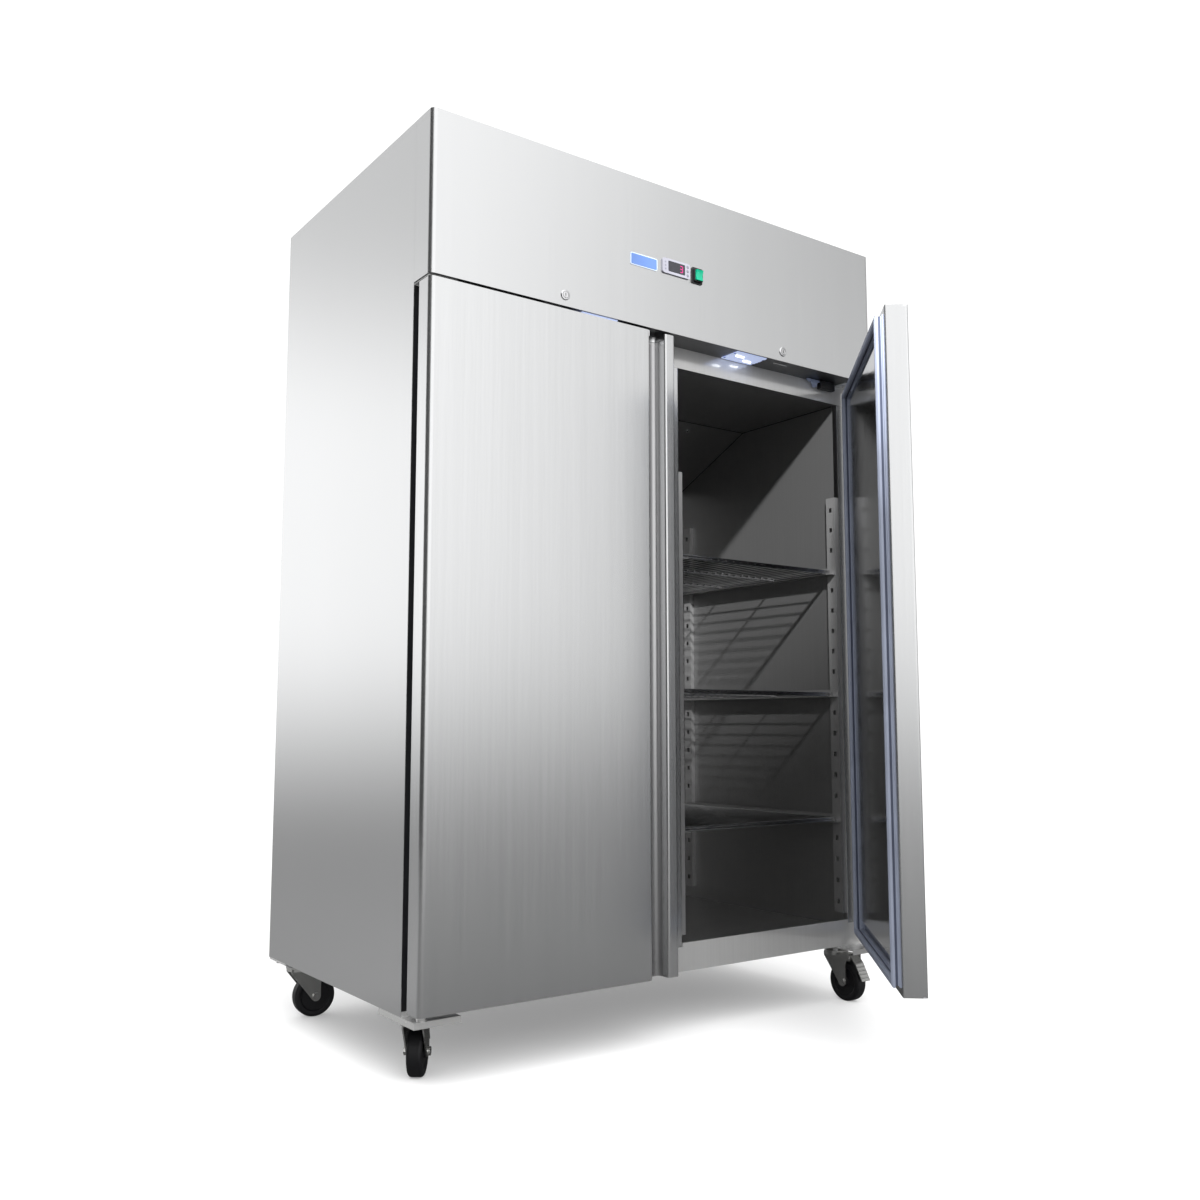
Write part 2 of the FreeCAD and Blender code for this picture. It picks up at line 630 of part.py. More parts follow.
def condenser():
    """Finned block between end plates, and the two copper lines from the compressor."""
    x = (FAN_X - 170, FAN_X + 170)
    z = (DECK + 20, DECK + 290)
    fins = [box((x[0] - 3, x[0]), COIL_DEPTH, z), box((x[1], x[1] + 3), COIL_DEPTH, z)]
    fin_pitch = 10.0
    for number in range(1, int((x[1] - x[0]) / fin_pitch)):
        middle = x[0] + number * fin_pitch
        fins.append(box((middle - 0.6, middle + 0.6), (COIL_DEPTH[0] + 3, COIL_DEPTH[1] - 3),
                        (z[0] + 4, z[1] - 4)))
    for row in range(6):
        for depth in (COIL_DEPTH[0] + 18, COIL_DEPTH[1] - 18):
            start = Vector(x[0] - 14, deep(depth), z[0] + 25 + row * 44)
            fins.append(cylinder(4.5, x[1] - x[0] + 28, start, X_AXIS))
    feet_depth = (COIL_DEPTH[0], COIL_DEPTH[1])
    fins.append(box((x[0] - 3, x[1] + 3), feet_depth, (DECK + SHEET, DECK + 20)))
    coil = joined(fins)
    near = deep(COMPRESSOR_DEPTH - 40)
    hot = pipe([Vector(COMPRESSOR_X + 40, near, POT_TOP), Vector(COMPRESSOR_X + 40, near, DECK + 215),
                Vector(x[0] - 30, near, DECK + 215), Vector(x[0] - 30, deep(COIL_DEPTH[1] - 18), DECK + 265),
                Vector(x[0] - 14.5, deep(COIL_DEPTH[1] - 18), DECK + 265)], 4.0)
    far = deep(COMPRESSOR_DEPTH + 40)
    cold = pipe([Vector(COMPRESSOR_X + 30, far, POT_TOP), Vector(COMPRESSOR_X + 30, far, DECK + 200),
                 Vector(-250, far, DECK + 200), Vector(-250, far, DECK + 60),
                 Vector(-250, deep(EVAP_BOX_FRONT), DECK + 60)], 6.0)
    return group([coil, hot, cold])


def fan_shroud():
    """Shroud behind the condenser with its round opening, the motor and the motor's arms."""
    x = (FAN_X - 165, FAN_X + 165)
    depth = (COIL_DEPTH[1], COIL_DEPTH[1] + 48)
    z = (DECK + 22, DECK + 288)
    outer = box(x, depth, z)
    hollow = box((x[0] + 2, x[1] - 2), (depth[0] - 1, depth[1] - 2), (z[0] + 2, z[1] - 2))
    centre = Vector(FAN_X, deep(depth[0]), FAN_Z)
    opening = cylinder(FAN_R + 5, 60, centre, Y_AXIS)
    shroud = outer.cut(hollow).cut(opening)
    arms_depth = depth[1] + 30
    motor = cylinder(34, 50, Vector(FAN_X, deep(arms_depth - 4), FAN_Z), Y_AXIS)
    shaft = cylinder(4, 28, Vector(FAN_X, deep(depth[1] - 1), FAN_Z), Y_AXIS)
    arms = []
    for degrees in (45, 135, 225, 315):
        arm = Part.makeBox(110, 5, 10, Vector(20, 0, -5))
        arm.rotate(ORIGIN, Y_AXIS, degrees)
        arm.translate(Vector(FAN_X, deep(arms_depth), FAN_Z))
        arms.append(arm)
        post = Part.makeBox(8, 36, 10, Vector(122, -31, -5))
        post.rotate(ORIGIN, Y_AXIS, degrees)
        post.translate(Vector(FAN_X, deep(arms_depth), FAN_Z))
        arms.append(post)
    return joined([shroud, motor, shaft] + arms)


def fan(radius, bore, thick):
    """Five-bladed axial fan built round the Z axis, from z = 0 up."""
    hub_r = radius * 0.3
    pieces = [cylinder(hub_r, thick, ORIGIN)]
    for number in range(5):
        blade = Part.makeBox(radius - hub_r + 3, radius * 0.62, 2.0, Vector(hub_r - 3, -radius * 0.31, -1))
        blade.rotate(ORIGIN, X_AXIS, 24)
        blade.translate(Vector(0, 0, thick / 2))
        blade.rotate(ORIGIN, Z_AXIS, number * 72)
        pieces.append(blade)
    wheel = joined(pieces)
    limit = cylinder(radius, thick * 3, Vector(0, 0, -thick))
    return wheel.common(limit).cut(cylinder(bore, thick * 3, Vector(0, 0, -thick)))


def condenser_fan():
    wheel = fan(FAN_R, 4 + RUN_FIT, 20.0)
    wheel.Placement = Placement(Vector(FAN_X, deep(COIL_DEPTH[1] + 48), FAN_Z),
                                Rotation(X_AXIS, -90))
    return wheel


def evaporator():
    """Evaporator block above the sloping cover, with the fan motor hung under it."""
    x = (-240.0, 240.0)
    depth = (505.0, 735.0)
    z = (1612.0, 1700.0)
    pieces = [box((x[0] - 3, x[0]), depth, z), box((x[1], x[1] + 3), depth, z)]
    for number in range(1, 32):
        middle = x[0] + number * 15.0
        pieces.append(box((middle - 0.6, middle + 0.6), (depth[0] + 3, depth[1] - 3), (z[0] + 3, z[1] - 3)))
    for row_depth in (depth[0] + 30, depth[0] + 90, depth[0] + 150, depth[0] + 205):
        for height in (z[0] + 22, z[1] - 22):
            start = Vector(x[0] - 12, deep(row_depth), height)
            pieces.append(cylinder(5, x[1] - x[0] + 24, start, X_AXIS))
    coil = joined(pieces)
    motor = cylinder(26, 30, Vector(0, 0, 34))
    shaft = cylinder(3, 24, Vector(0, 0, 11))
    hung = across_duct(joined([motor, shaft]))
    strap = box((-30, 30), (EVAP_FAN_DEPTH + 10, EVAP_FAN_DEPTH + 40), (1590, z[0] + 6))
    return joined([coil, strap, hung])


def evaporator_fan():
    wheel = fan(EVAP_FAN_R - 4, 3 + RUN_FIT, 14.0)
    wheel.translate(Vector(0, 0, 12))
    return across_duct(wheel)


# ---- doors ----------------------------------------------------------------------------------
FLANGE_EDGE = 52.0          # where the grip flange ends and the handle channel starts
CHANNEL_EDGE = 98.0
CHANNEL_DEEP = 36.0
GASKET_W = 20.0
GASKET_TOP_INSET = 18.0
GASKET_FREE = 31.0
GASKET_HINGE = 650.0
DOOR_BACK = DOOR_THICK + SHEET
RETURN = 14.0               # width of the skin's narrow back returns


def door_plan():
    """Plan outline of a closed right-hand door, with the handle channel near its free edge."""
    corner = 5.0
    roll = EDGE_ROLL
    lip = 3.0
    tight = 13.0
    wide = CHANNEL_DEEP - lip
    hinge = (DOOR_HINGE - roll, deep(roll))
    lip_at = (CHANNEL_EDGE + lip, deep(lip))
    cove = (CHANNEL_EDGE - wide, deep(lip))
    turn = (FLANGE_EDGE + tight, deep(CHANNEL_DEEP - tight))
    grip_in = (FLANGE_EDGE - corner, deep(corner))
    grip_out = (DOOR_FREE + corner, deep(corner))
    return outline([
        (DOOR_HINGE, deep(DOOR_THICK)),
        (DOOR_HINGE, deep(roll)),
        (on_arc(hinge, roll, 315), (DOOR_HINGE - roll, FRONT)),
        (CHANNEL_EDGE + lip, FRONT),
        (on_arc(lip_at, lip, 225), (CHANNEL_EDGE, deep(lip))),
        (on_arc(cove, wide, 45), (CHANNEL_EDGE - wide, deep(CHANNEL_DEEP))),
        (on_arc(turn, tight, 135), (FLANGE_EDGE, deep(CHANNEL_DEEP - tight))),
        (FLANGE_EDGE, deep(corner)),
        (on_arc(grip_in, corner, 315), (FLANGE_EDGE - corner, FRONT)),
        (DOOR_FREE + corner, FRONT),
        (on_arc(grip_out, corner, 225), (DOOR_FREE, deep(corner))),
        (DOOR_FREE, deep(DOOR_THICK))])


def door_skin(plan, inner):
    """Folded outer sheet: front, handle channel, grip flange, edges and narrow back returns."""
    shell = raised(plan.cut(inner), DOOR_BOTTOM, DOOR_TOP)
    back = box((DOOR_FREE + RETURN, DOOR_HINGE - RETURN), (DOOR_THICK - 3, DOOR_THICK + 1),
               (DOOR_BOTTOM - 1, DOOR_TOP + 1))
    return shell.cut(back)


CAP = 8.0
PIN_R = 5.0
PIN_REACH = 12.0


def door_caps(inner):
    """Plastic end caps; each has the hinge pin's bearing hole, and the top one the lock pocket."""
    pivot = Vector(HINGE_X, deep(HINGE_DEPTH), 0)
    bearings = cylinder(PIN_R + RUN_FIT, 2 * HEIGHT, pivot - Z_AXIS * 100)
    top = raised(inner, DOOR_TOP - CAP, DOOR_TOP).cut(bearings)
    bottom = raised(inner, DOOR_BOTTOM, DOOR_BOTTOM + CAP).cut(bearings)
    pocket = box((LOCK_X - 12, LOCK_X + 30), (LOCK_SLOT_DEPTH - 3.5, LOCK_SLOT_DEPTH + 3.5),
                 (DOOR_TOP - CAP - 1, DOOR_TOP + 1))
    return group([top.cut(pocket), bottom])


def door_core(inner):
    """Foam filling between the caps and in the pan, cleared for the hinge pins and the tongue."""
    filling = box((DOOR_FREE + RETURN, DOOR_HINGE - RETURN), (DOOR_THICK - 3, DOOR_THICK),
                  (DOOR_BOTTOM + CAP, DOOR_TOP - CAP))
    core = joined([raised(inner, DOOR_BOTTOM + CAP, DOOR_TOP - CAP), filling, door_pan(DOOR_THICK)])
    pocket = box((LOCK_X - 12, LOCK_X + 30), (LOCK_SLOT_DEPTH - 3.5, LOCK_SLOT_DEPTH + 3.5),
                 (DOOR_TOP - CAP - 10, DOOR_TOP))
    clear = []
    for z in (DOOR_BOTTOM + CAP - 1, DOOR_TOP - CAP - PIN_REACH + 1):
        clear.append(cylinder(PIN_R + 2, PIN_REACH, Vector(HINGE_X, deep(HINGE_DEPTH), z)))
    return core.cut(group(clear + [pocket]))


PAN_MARGIN = 16.0
PAN_SLOPE = 12.0
PAN_RISE = 9.0


def door_pan(start):
    """Shallow pan inside the gasket ring, rising from this depth."""
    low_x = GASKET_FREE + GASKET_W + PAN_MARGIN
    high_x = GASKET_HINGE - GASKET_W - PAN_MARGIN
    low_z = DOOR_BOTTOM + GASKET_TOP_INSET + GASKET_W + PAN_MARGIN
    high_z = DOOR_TOP - GASKET_TOP_INSET - GASKET_W - PAN_MARGIN
    rims = []
    for inset, depth in ((0.0, start), (PAN_SLOPE, start + PAN_RISE)):
        corners = [(low_x + inset, low_z + inset), (high_x - inset, low_z + inset),
                   (high_x - inset, high_z - inset), (low_x + inset, high_z - inset)]
        ring = [Vector(x, deep(depth), z) for x, z in corners]
        rims.append(Part.makePolygon(ring + ring[:1]))
    return Part.makeLoft(rims, True, True)


def door_liner():
    """Inner sheet of the door, pressed out into the pan."""
    sheet = box((DOOR_FREE + 3, DOOR_HINGE - 3), (DOOR_THICK, DOOR_BACK),
                (DOOR_BOTTOM + 3, DOOR_TOP - 3))
    return joined([sheet, door_pan(DOOR_BACK)]).cut(door_pan(DOOR_THICK))


def gasket_strip(start, end, across, inward):
    """One side of the gasket ring: a wide foot, a waist and the magnet bulb that seals."""
    layers = ((0.0, GASKET_W, 0.0, 6.0), (3.0, GASKET_W - 3.0, 6.0, 11.0),
              (0.0, GASKET_W - 1.0, 11.0, FACE_DEPTH - DOOR_BACK - 0.3))
    pieces = []
    for near, far, low, high in layers:
        side = sorted((across + inward * near, across + inward * far))
        pieces.append((side, (DOOR_BACK + low, DOOR_BACK + high), (start, end)))
    return pieces


def gasket():
    """Magnetic gasket of the right door, as four strips that meet at the corners."""
    low = DOOR_BOTTOM + GASKET_TOP_INSET
    high = DOOR_TOP - GASKET_TOP_INSET
    strips = []
    for across, inward in ((low, 1), (high, -1)):
        layers = gasket_strip(GASKET_FREE, GASKET_HINGE, across, inward)
        strips.append(joined([box(run, depth, side) for side, depth, run in layers]))
    for across, inward in ((GASKET_FREE, 1), (GASKET_HINGE, -1)):
        layers = gasket_strip(low + GASKET_W, high - GASKET_W, across, inward)
        strips.append(joined([box(side, depth, run) for side, depth, run in layers]))
    return group(strips)


def door_pieces():
    """Every piece of a closed right-hand door, by the first part of its node name."""
    plan = door_plan()
    inner = plan.makeOffset2D(-SHEET)
    return {
        "door_skin": door_skin(plan, inner),
        "door_caps": door_caps(inner),
        "door_core": door_core(inner),
        "door_liner": door_liner(),
        "door_gasket": gasket()}


def swung_open(shape):
    """Turn a right-hand door piece about the hinge line to the angle it rests at."""
    turned = shape.copy()
    turned.rotate(Vector(HINGE_X, deep(HINGE_DEPTH), 0), Z_AXIS, OPEN_ANGLE)
    return turned


BRACKET = 4.0
BRACKET_LIP = 13.0
BRACKET_REACH = (16.0, 174.0)
TOP_HINGE_Z = HEADER_BOTTOM - 3.0


def hinge_brackets():
    """Lower brackets that carry a door's pin and a castor, rear castor plates, upper hinges."""
    x = (566.0, HALF_W)
    plate = box(x, BRACKET_REACH, (CASTOR_TOP, BODY_BOTTOM))
    front_lip = box(x, (BRACKET_REACH[0], BRACKET_REACH[0] + 2.5), (BODY_BOTTOM - BRACKET_LIP, BODY_BOTTOM))
    side_lip = box((HALF_W - 2.5, HALF_W), BRACKET_REACH, (BODY_BOTTOM - BRACKET_LIP, BODY_BOTTOM))
    pivot = Vector(HINGE_X, deep(HINGE_DEPTH), BODY_BOTTOM - 2)
    pin = cylinder(PIN_R, DOOR_BOTTOM - BODY_BOTTOM + 2 + PIN_REACH, pivot)
    collar = cylinder(PIN_R + 5, DOOR_BOTTOM - BODY_BOTTOM + 1.6, pivot)
    lower = joined([plate, front_lip, side_lip, pin, collar])
    rear = box(x, (CASTOR_REAR - 52, CASTOR_REAR + 52), (CASTOR_TOP, BODY_BOTTOM))
    arm = box((600, HALF_W - 3), (10, FACE_DEPTH), (TOP_HINGE_Z, HEADER_BOTTOM))
    top_pin_z = DOOR_TOP - PIN_REACH
    top_pin = cylinder(PIN_R, TOP_HINGE_Z - top_pin_z + 1, Vector(HINGE_X, deep(HINGE_DEPTH), top_pin_z))
    upper = joined([arm, top_pin])
    return group(both_sides([lower, rear, upper]))


# ---- castors --------------------------------------------------------------------------------
CASTORS = {                 # side, depth of the swivel, direction the wheel trails in, brake
    "front_left": (-1, CASTOR_FRONT, 53.0, True),
    "front_right": (1, CASTOR_FRONT, -90.0, True),
    "rear_left": (-1, CASTOR_REAR, -4.0, False),
    "rear_right": (1, CASTOR_REAR, 25.0, False)}
CROWN_TOP = 119.0
CROWN_LOW = 113.0
LEG_IN = 19.0
LEG_OUT = 22.0
LEG_R = 12.0


def placed_castor(shape, name):
    """Move a castor piece, built about the swivel axis and trailing along +X, into place."""
    side, depth, trail_angle = CASTORS[name][:3]
    moved = shape.copy()
    moved.rotate(ORIGIN, Z_AXIS, trail_angle)
    moved.translate(Vector(side * CASTOR_X, deep(depth), 0))
    return moved


def castor_plate():
    """Square top plate with its upper race and the riveted kingpin."""
    plate = Part.makeBox(96, 86, 3.5, Vector(-48, -43, CASTOR_TOP - 3.5))
    low = CROWN_TOP + 0.4
    race = cylinder(31, 5, Vector(0, 0, low))
    neck = Part.makeCone(27, 34, CASTOR_TOP - low - 5, Vector(0, 0, low + 5))
    kingpin = cylinder(6, CASTOR_TOP - CROWN_LOW + 3, Vector(0, 0, CROWN_LOW - 3))
    head = cylinder(10, 3.6, Vector(0, 0, CROWN_LOW - 4))
    return joined([plate, race, neck, kingpin, head])


def castor_leg(lateral):
    """Tapered fork leg: wide under the crown, rounded round the axle."""
    axle = (TRAIL, WHEEL_R)
    low_left = on_arc(axle, LEG_R, 208)
    plan = outline([
        (-24.0, CROWN_TOP), (-24.0, CROWN_LOW - 4), low_left,
        (on_arc(axle, LEG_R, 284), on_arc(axle, LEG_R, 0)),
        (TRAIL + LEG_R, CROWN_TOP)])
    leg = plan.extrude(Vector(0, 0, LEG_OUT - LEG_IN))
    leg.rotate(ORIGIN, X_AXIS, 90)
    leg.translate(Vector(0, lateral + (LEG_OUT - LEG_IN), 0))
    return leg


PEDAL_AXIS = (59.0, 113.0)  # along the trail and up
PEDAL_PIN_R = 2.5


def brake_ear(lateral):
    """Ear of a fork leg that holds the brake pedal's pin."""
    length = PEDAL_AXIS[0] + 6 - TRAIL
    return Part.makeBox(length, LEG_OUT - LEG_IN, 14, Vector(TRAIL, lateral, 105))


def castor_fork(brake):
    """Pressed fork with its crown and lower race, and the axle bolt with its nut."""
    crown = Part.makeBox(TRAIL + LEG_R + 24, 2 * LEG_OUT, CROWN_TOP - CROWN_LOW,
                         Vector(-24, -LEG_OUT, CROWN_LOW))
    race = cylinder(29, CROWN_TOP - CROWN_LOW, Vector(0, 0, CROWN_LOW))
    pressing = [crown, race, castor_leg(LEG_IN), castor_leg(-LEG_OUT)]
    if brake:
        pressing += [brake_ear(LEG_IN), brake_ear(-LEG_OUT)]
        pin_start = Vector(PEDAL_AXIS[0], -LEG_OUT - 2, PEDAL_AXIS[1])
        pressing.append(cylinder(PEDAL_PIN_R, 2 * LEG_OUT + 4, pin_start, Y_AXIS))
    fork = joined(pressing)
    fork = fork.cut(cylinder(6 + RUN_FIT, 40, Vector(0, 0, 100)))
    bolt_start = Vector(TRAIL, -LEG_OUT - 5, WHEEL_R)
    bolt = cylinder(AXLE_R, 2 * LEG_OUT + 12, bolt_start, Y_AXIS)
    head = cylinder(9, 5, Vector(TRAIL, -LEG_OUT - 5, WHEEL_R), Y_AXIS)
    nut = Part.Face(Part.makePolygon([
        Vector(TRAIL + 9 * math.cos(math.radians(60 * turn)), LEG_OUT,
               WHEEL_R + 9 * math.sin(math.radians(60 * turn))) for turn in range(7)]))
    return joined([fork, bolt, head, nut.extrude(Vector(0, 6, 0))])


def castor_wheel():
    """Wheel with a rounded tread on a wide hub, bored to run on the axle bolt."""
    tyre_half = 16.0
    hub_half = 18.2
    shoulder = 7.0
    tyre = cylinder(WHEEL_R, 2 * tyre_half, Vector(TRAIL, -tyre_half, WHEEL_R), Y_AXIS)
    rims = [edge for edge in tyre.Edges if isinstance(edge.Curve, Part.Circle)]
    tyre = tyre.makeFillet(shoulder, rims)
    dish = []
    for low in (-tyre_half - 1, tyre_half - 2.5):
        ring = cylinder(36, 3.5, Vector(TRAIL, low, WHEEL_R), Y_AXIS)
        dish.append(ring)
    hub = cylinder(13, 2 * hub_half, Vector(TRAIL, -hub_half, WHEEL_R), Y_AXIS)
    bore = cylinder(AXLE_R + RUN_FIT, 60, Vector(TRAIL, -30, WHEEL_R), Y_AXIS)
    return joined([tyre.cut(group(dish)), hub]).cut(bore)


def brake_pedal():
    """Sheet pedal that hangs from its pin beyond the wheel, with four pressed ribs."""
    half = 15.0
    arm = outline([
        (PEDAL_AXIS[0], PEDAL_AXIS[1] + 4.5), (PEDAL_AXIS[0], PEDAL_AXIS[1] - 4.5), (67.0, 107.5),
        (77.0, 97.0), (99.0, 58.0), (101.5, 59.0), (80.0, 99.0), (69.0, 111.0)])
    body = arm.extrude(Vector(0, 0, 2 * half))
    body.rotate(ORIGIN, X_AXIS, 90)
    body.translate(Vector(0, half, 0))
    knuckle = cylinder(4.5, 2 * half, Vector(PEDAL_AXIS[0], -half, PEDAL_AXIS[1]), Y_AXIS)
    bore = cylinder(PEDAL_PIN_R + RUN_FIT, 60, Vector(PEDAL_AXIS[0], -30, PEDAL_AXIS[1]), Y_AXIS)
    ribs = []
    for number in range(4):
        share = 0.16 + 0.22 * number
        foot = Vector(80.6 + share * 20.0, -half + 3, 97.8 - share * 37.5)
        ribs.append(cylinder(1.8, 2 * half - 6, foot, Y_AXIS))
    return joined([body, knuckle] + ribs).cut(bore)


# ---- fasteners ------------------------------------------------------------------------------
def fasteners():
    """Castor bolts, bracket screws and the two pan-head screws of each end of the duct cover."""
    screws = []
    for side, depth in [castor[:2] for castor in CASTORS.values()]:
        for dx in (-38, 38):
            for dy in (-33, 33):
                foot = Vector(side * CASTOR_X + dx, deep(depth) + dy, CASTOR_TOP - 8.5)
                screws.append(cylinder(6.5, 5.0, foot))
    for side in (-1, 1):
        for offset in (0.0, 40.0):
            depth = DUCT_FRONT + 30.0
            base = Vector(side * (380.0 + offset), deep(depth), duct_height(depth) - SHEET)
            normal = Vector(0, -DUCT_DROP, -1)
            screws.append(cylinder(5.0, 2.5, base, normal))
        for depth in (18.0, 50.0):
            screws.append(cylinder(4.0, 1.8, Vector(side * 612.0, deep(depth), TOP_HINGE_Z - 1.8)))
    return group(screws)


# ---- write every piece ----------------------------------------------------------------------
right_side = side_panel()
save("side_panel_right", right_side)
save("side_panel_left", mirrored(right_side))
save("back_panel", back_panel())
save("base_panel", base_panel())
save("top_deck", top_deck())
save("face_rails", face_rails())
save("jambs", jambs())
save("mullion", mullion())
save("cabinet_insulation", cabinet_insulation())
save("liner", liner())
save("air_duct_cover", air_duct_cover())
save("rear_post", rear_post())
save("pilasters", pilasters())
save("shelf_runners", shelf_runners())
grids = shelves()
save("shelves_right", group(grids))
save("shelves_left", group([mirrored(grid) for grid in grids]))
save("header_cover", header_cover())
save("badge_plate", badge_plate())
save("controller_bezel", controller_bezel())
save("controller_display", controller_display())
for key_name, key_z in KEY_Z.items():
    save(key_name, key(key_z))
save("switch_bezel", switch_bezel())
save("rocker", rocker())
save("lock_housings", group([lock_case(-1), lock_case(1)]))
save("lock_left", lock_rotor(-1))
save("lock_right", lock_rotor(1))
save("lamp_housing", lamp_housing())
save("lamp_diffuser", lamp_diffuser())
save("door_switches", group(both_sides(door_switch())))
save("compressor", compressor())
save("condenser", condenser())
save("fan_shroud", fan_shroud())
save("condenser_fan", condenser_fan())
save("evaporator", evaporator())
save("evaporator_fan", evaporator_fan())
for piece_name, piece in door_pieces().items():
    save(piece_name + "_left", mirrored(piece))
    save(piece_name + "_right", swung_open(piece))
save("hinge_brackets", hinge_brackets())
plates = []
for castor_name, castor in CASTORS.items():
    has_brake = castor[3]
    plates.append(castor_plate().translated(Vector(castor[0] * CASTOR_X, deep(castor[1]), 0)))
    save("castor_fork_" + castor_name, placed_castor(castor_fork(has_brake), castor_name))
    save("castor_wheel_" + castor_name, placed_castor(castor_wheel(), castor_name))
    if has_brake:
        save("brake_pedal_" + castor_name, placed_castor(brake_pedal(), castor_name))
save("castor_plates", group(plates))
save("fasteners", fasteners())
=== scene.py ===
import json
import math

import bmesh
import bpy
from mathutils import Euler, Matrix, Vector


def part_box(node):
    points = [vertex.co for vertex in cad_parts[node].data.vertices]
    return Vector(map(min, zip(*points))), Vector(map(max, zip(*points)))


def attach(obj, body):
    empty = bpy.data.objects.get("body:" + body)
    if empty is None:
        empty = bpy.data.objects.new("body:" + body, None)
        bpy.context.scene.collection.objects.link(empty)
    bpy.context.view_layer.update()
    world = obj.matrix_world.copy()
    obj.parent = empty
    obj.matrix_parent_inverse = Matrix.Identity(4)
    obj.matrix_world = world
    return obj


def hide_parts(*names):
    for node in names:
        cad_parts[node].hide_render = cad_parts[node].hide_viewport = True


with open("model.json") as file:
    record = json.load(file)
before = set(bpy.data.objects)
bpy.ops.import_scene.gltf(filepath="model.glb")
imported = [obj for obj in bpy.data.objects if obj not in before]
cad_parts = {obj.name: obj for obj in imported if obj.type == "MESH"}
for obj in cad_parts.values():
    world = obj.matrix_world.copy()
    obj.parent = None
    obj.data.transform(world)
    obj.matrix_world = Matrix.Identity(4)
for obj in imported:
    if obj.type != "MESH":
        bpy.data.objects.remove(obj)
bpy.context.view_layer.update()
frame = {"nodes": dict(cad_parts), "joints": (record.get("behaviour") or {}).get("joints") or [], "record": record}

RECORD = frame["record"]
NODE_SLOT = {part["node"]: part["material_slot"] for part in RECORD["subparts"]}
JOINTS = {joint["name"]: joint for joint in frame["joints"]}
NODE_BODY = {node: body for body, nodes in RECORD["behaviour"]["bodies"].items() for node in nodes}


# ---- materials ------------------------------------------------------------------------------
class Surface:
    """A node material with a Principled shader, built up by small helpers."""

    def __init__(self, name, colour, metallic=0.0, rough=0.4):
        self.material = bpy.data.materials.new(name)
        self.material.use_nodes = True
        self.tree = self.material.node_tree
        self.shader = self.tree.nodes["Principled BSDF"]
        self.colour = colour
        self.set("Base Color", (*colour, 1.0))
        self.set("Metallic", metallic)
        self.set("Roughness", rough)

    def set(self, socket, value):
        self.shader.inputs[socket].default_value = value

    def node(self, kind, **settings):
        made = self.tree.nodes.new("ShaderNode" + kind)
        for key, value in settings.items():
            setattr(made, key, value)
        return made

    def link(self, source, target):
        self.tree.links.new(source, target)

    def noise(self, scale, detail=2.0, roughness=0.5, strength=1.0):
        """Noise over the object's own coordinates, stretched by a scale for each axis."""
        place = self.node("TexCoord").outputs["Object"]
        mapping = self.node("Mapping")
        mapping.inputs["Scale"].default_value = scale
        self.link(place, mapping.inputs["Vector"])
        noise = self.node("TexNoise")
        noise.inputs["Scale"].default_value = strength
        noise.inputs["Detail"].default_value = detail
        noise.inputs["Roughness"].default_value = roughness
        self.link(mapping.outputs["Vector"], noise.inputs["Vector"])
        return noise.outputs["Fac"]

    def ranged(self, value, low, high, source_low=0.25, source_high=0.75):
        span = self.node("MapRange")
        self.link(value, span.inputs["Value"])
        span.inputs["From Min"].default_value = source_low
        span.inputs["From Max"].default_value = source_high
        span.inputs["To Min"].default_value = low
        span.inputs["To Max"].default_value = high
        return span.outputs["Result"]

    def math(self, operation, first, second):
        made = self.node("Math", operation=operation)
        for index, value in enumerate((first, second)):
            if isinstance(value, (int, float)):
                made.inputs[index].default_value = value
            else:
                self.link(value, made.inputs[index])
        return made.outputs[0]

    def tint(self, factor, darker, lighter):
        """Base colour between two shades of the material's own colour."""
        mix = self.node("Mix", data_type="RGBA")
        self.link(factor, mix.inputs["Factor"])
        for index, share in ((6, darker), (7, lighter)):
            shade = [min(1.0, part * share) for part in self.colour]
            mix.inputs[index].default_value = (*shade, 1.0)
        self.link(mix.outputs[2], self.shader.inputs["Base Color"])

    def rough(self, factor, low, high):
        self.link(self.ranged(factor, low, high), self.shader.inputs["Roughness"])

    def bump(self, height, strength, distance=0.0005):
        bump = self.node("Bump")
        bump.inputs["Strength"].default_value = strength
        bump.inputs["Distance"].default_value = distance
        self.link(height, bump.inputs["Height"])
        self.link(bump.outputs["Normal"], self.shader.inputs["Normal"])


GRAIN_UP = (1.0, 1.0, 0.012)
GRAIN_ALONG_Y = (1.0, 0.012, 1.0)


def brushed(name, colour, rough, grain=GRAIN_UP, cloud=0.025, streak=0.022, bump=0.03, aniso=0.5):
    """Brushed sheet: hairline grain, wider streaks and slow clouding, all along one direction."""
    surface = Surface(name, colour, metallic=1.0, rough=rough)
    hair = surface.noise([900 * part for part in grain], detail=3.0)
    band = surface.noise([110 * part for part in grain], detail=2.0)
    haze = surface.noise((2.2, 2.2, 1.1), detail=3.0)
    mixed = surface.math("ADD", surface.math("MULTIPLY", hair, 0.5),
                         surface.math("MULTIPLY", band, 0.5))
    surface.tint(surface.ranged(mixed, 0.0, 1.0, 0.35, 0.65), 1.0 - streak, 1.0 + streak)
    texture = surface.math("ADD", surface.math("MULTIPLY", mixed, 0.6),
                           surface.math("MULTIPLY", haze, 0.4))
    surface.rough(texture, rough - cloud, rough + cloud)
    if bump:
        surface.bump(hair, bump, 0.0002)
    if aniso:
        surface.set("Anisotropic", aniso)
        surface.set("Anisotropic Rotation", 0.25)
        along = surface.node("CombineXYZ")
        direction = (0.03, 0.02, 1.0) if grain is GRAIN_UP else (0.03, 1.0, 0.02)
        for socket, value in zip(along.inputs, direction):
            socket.default_value = value
        surface.link(along.outputs[0], surface.shader.inputs["Tangent"])
    return surface.material


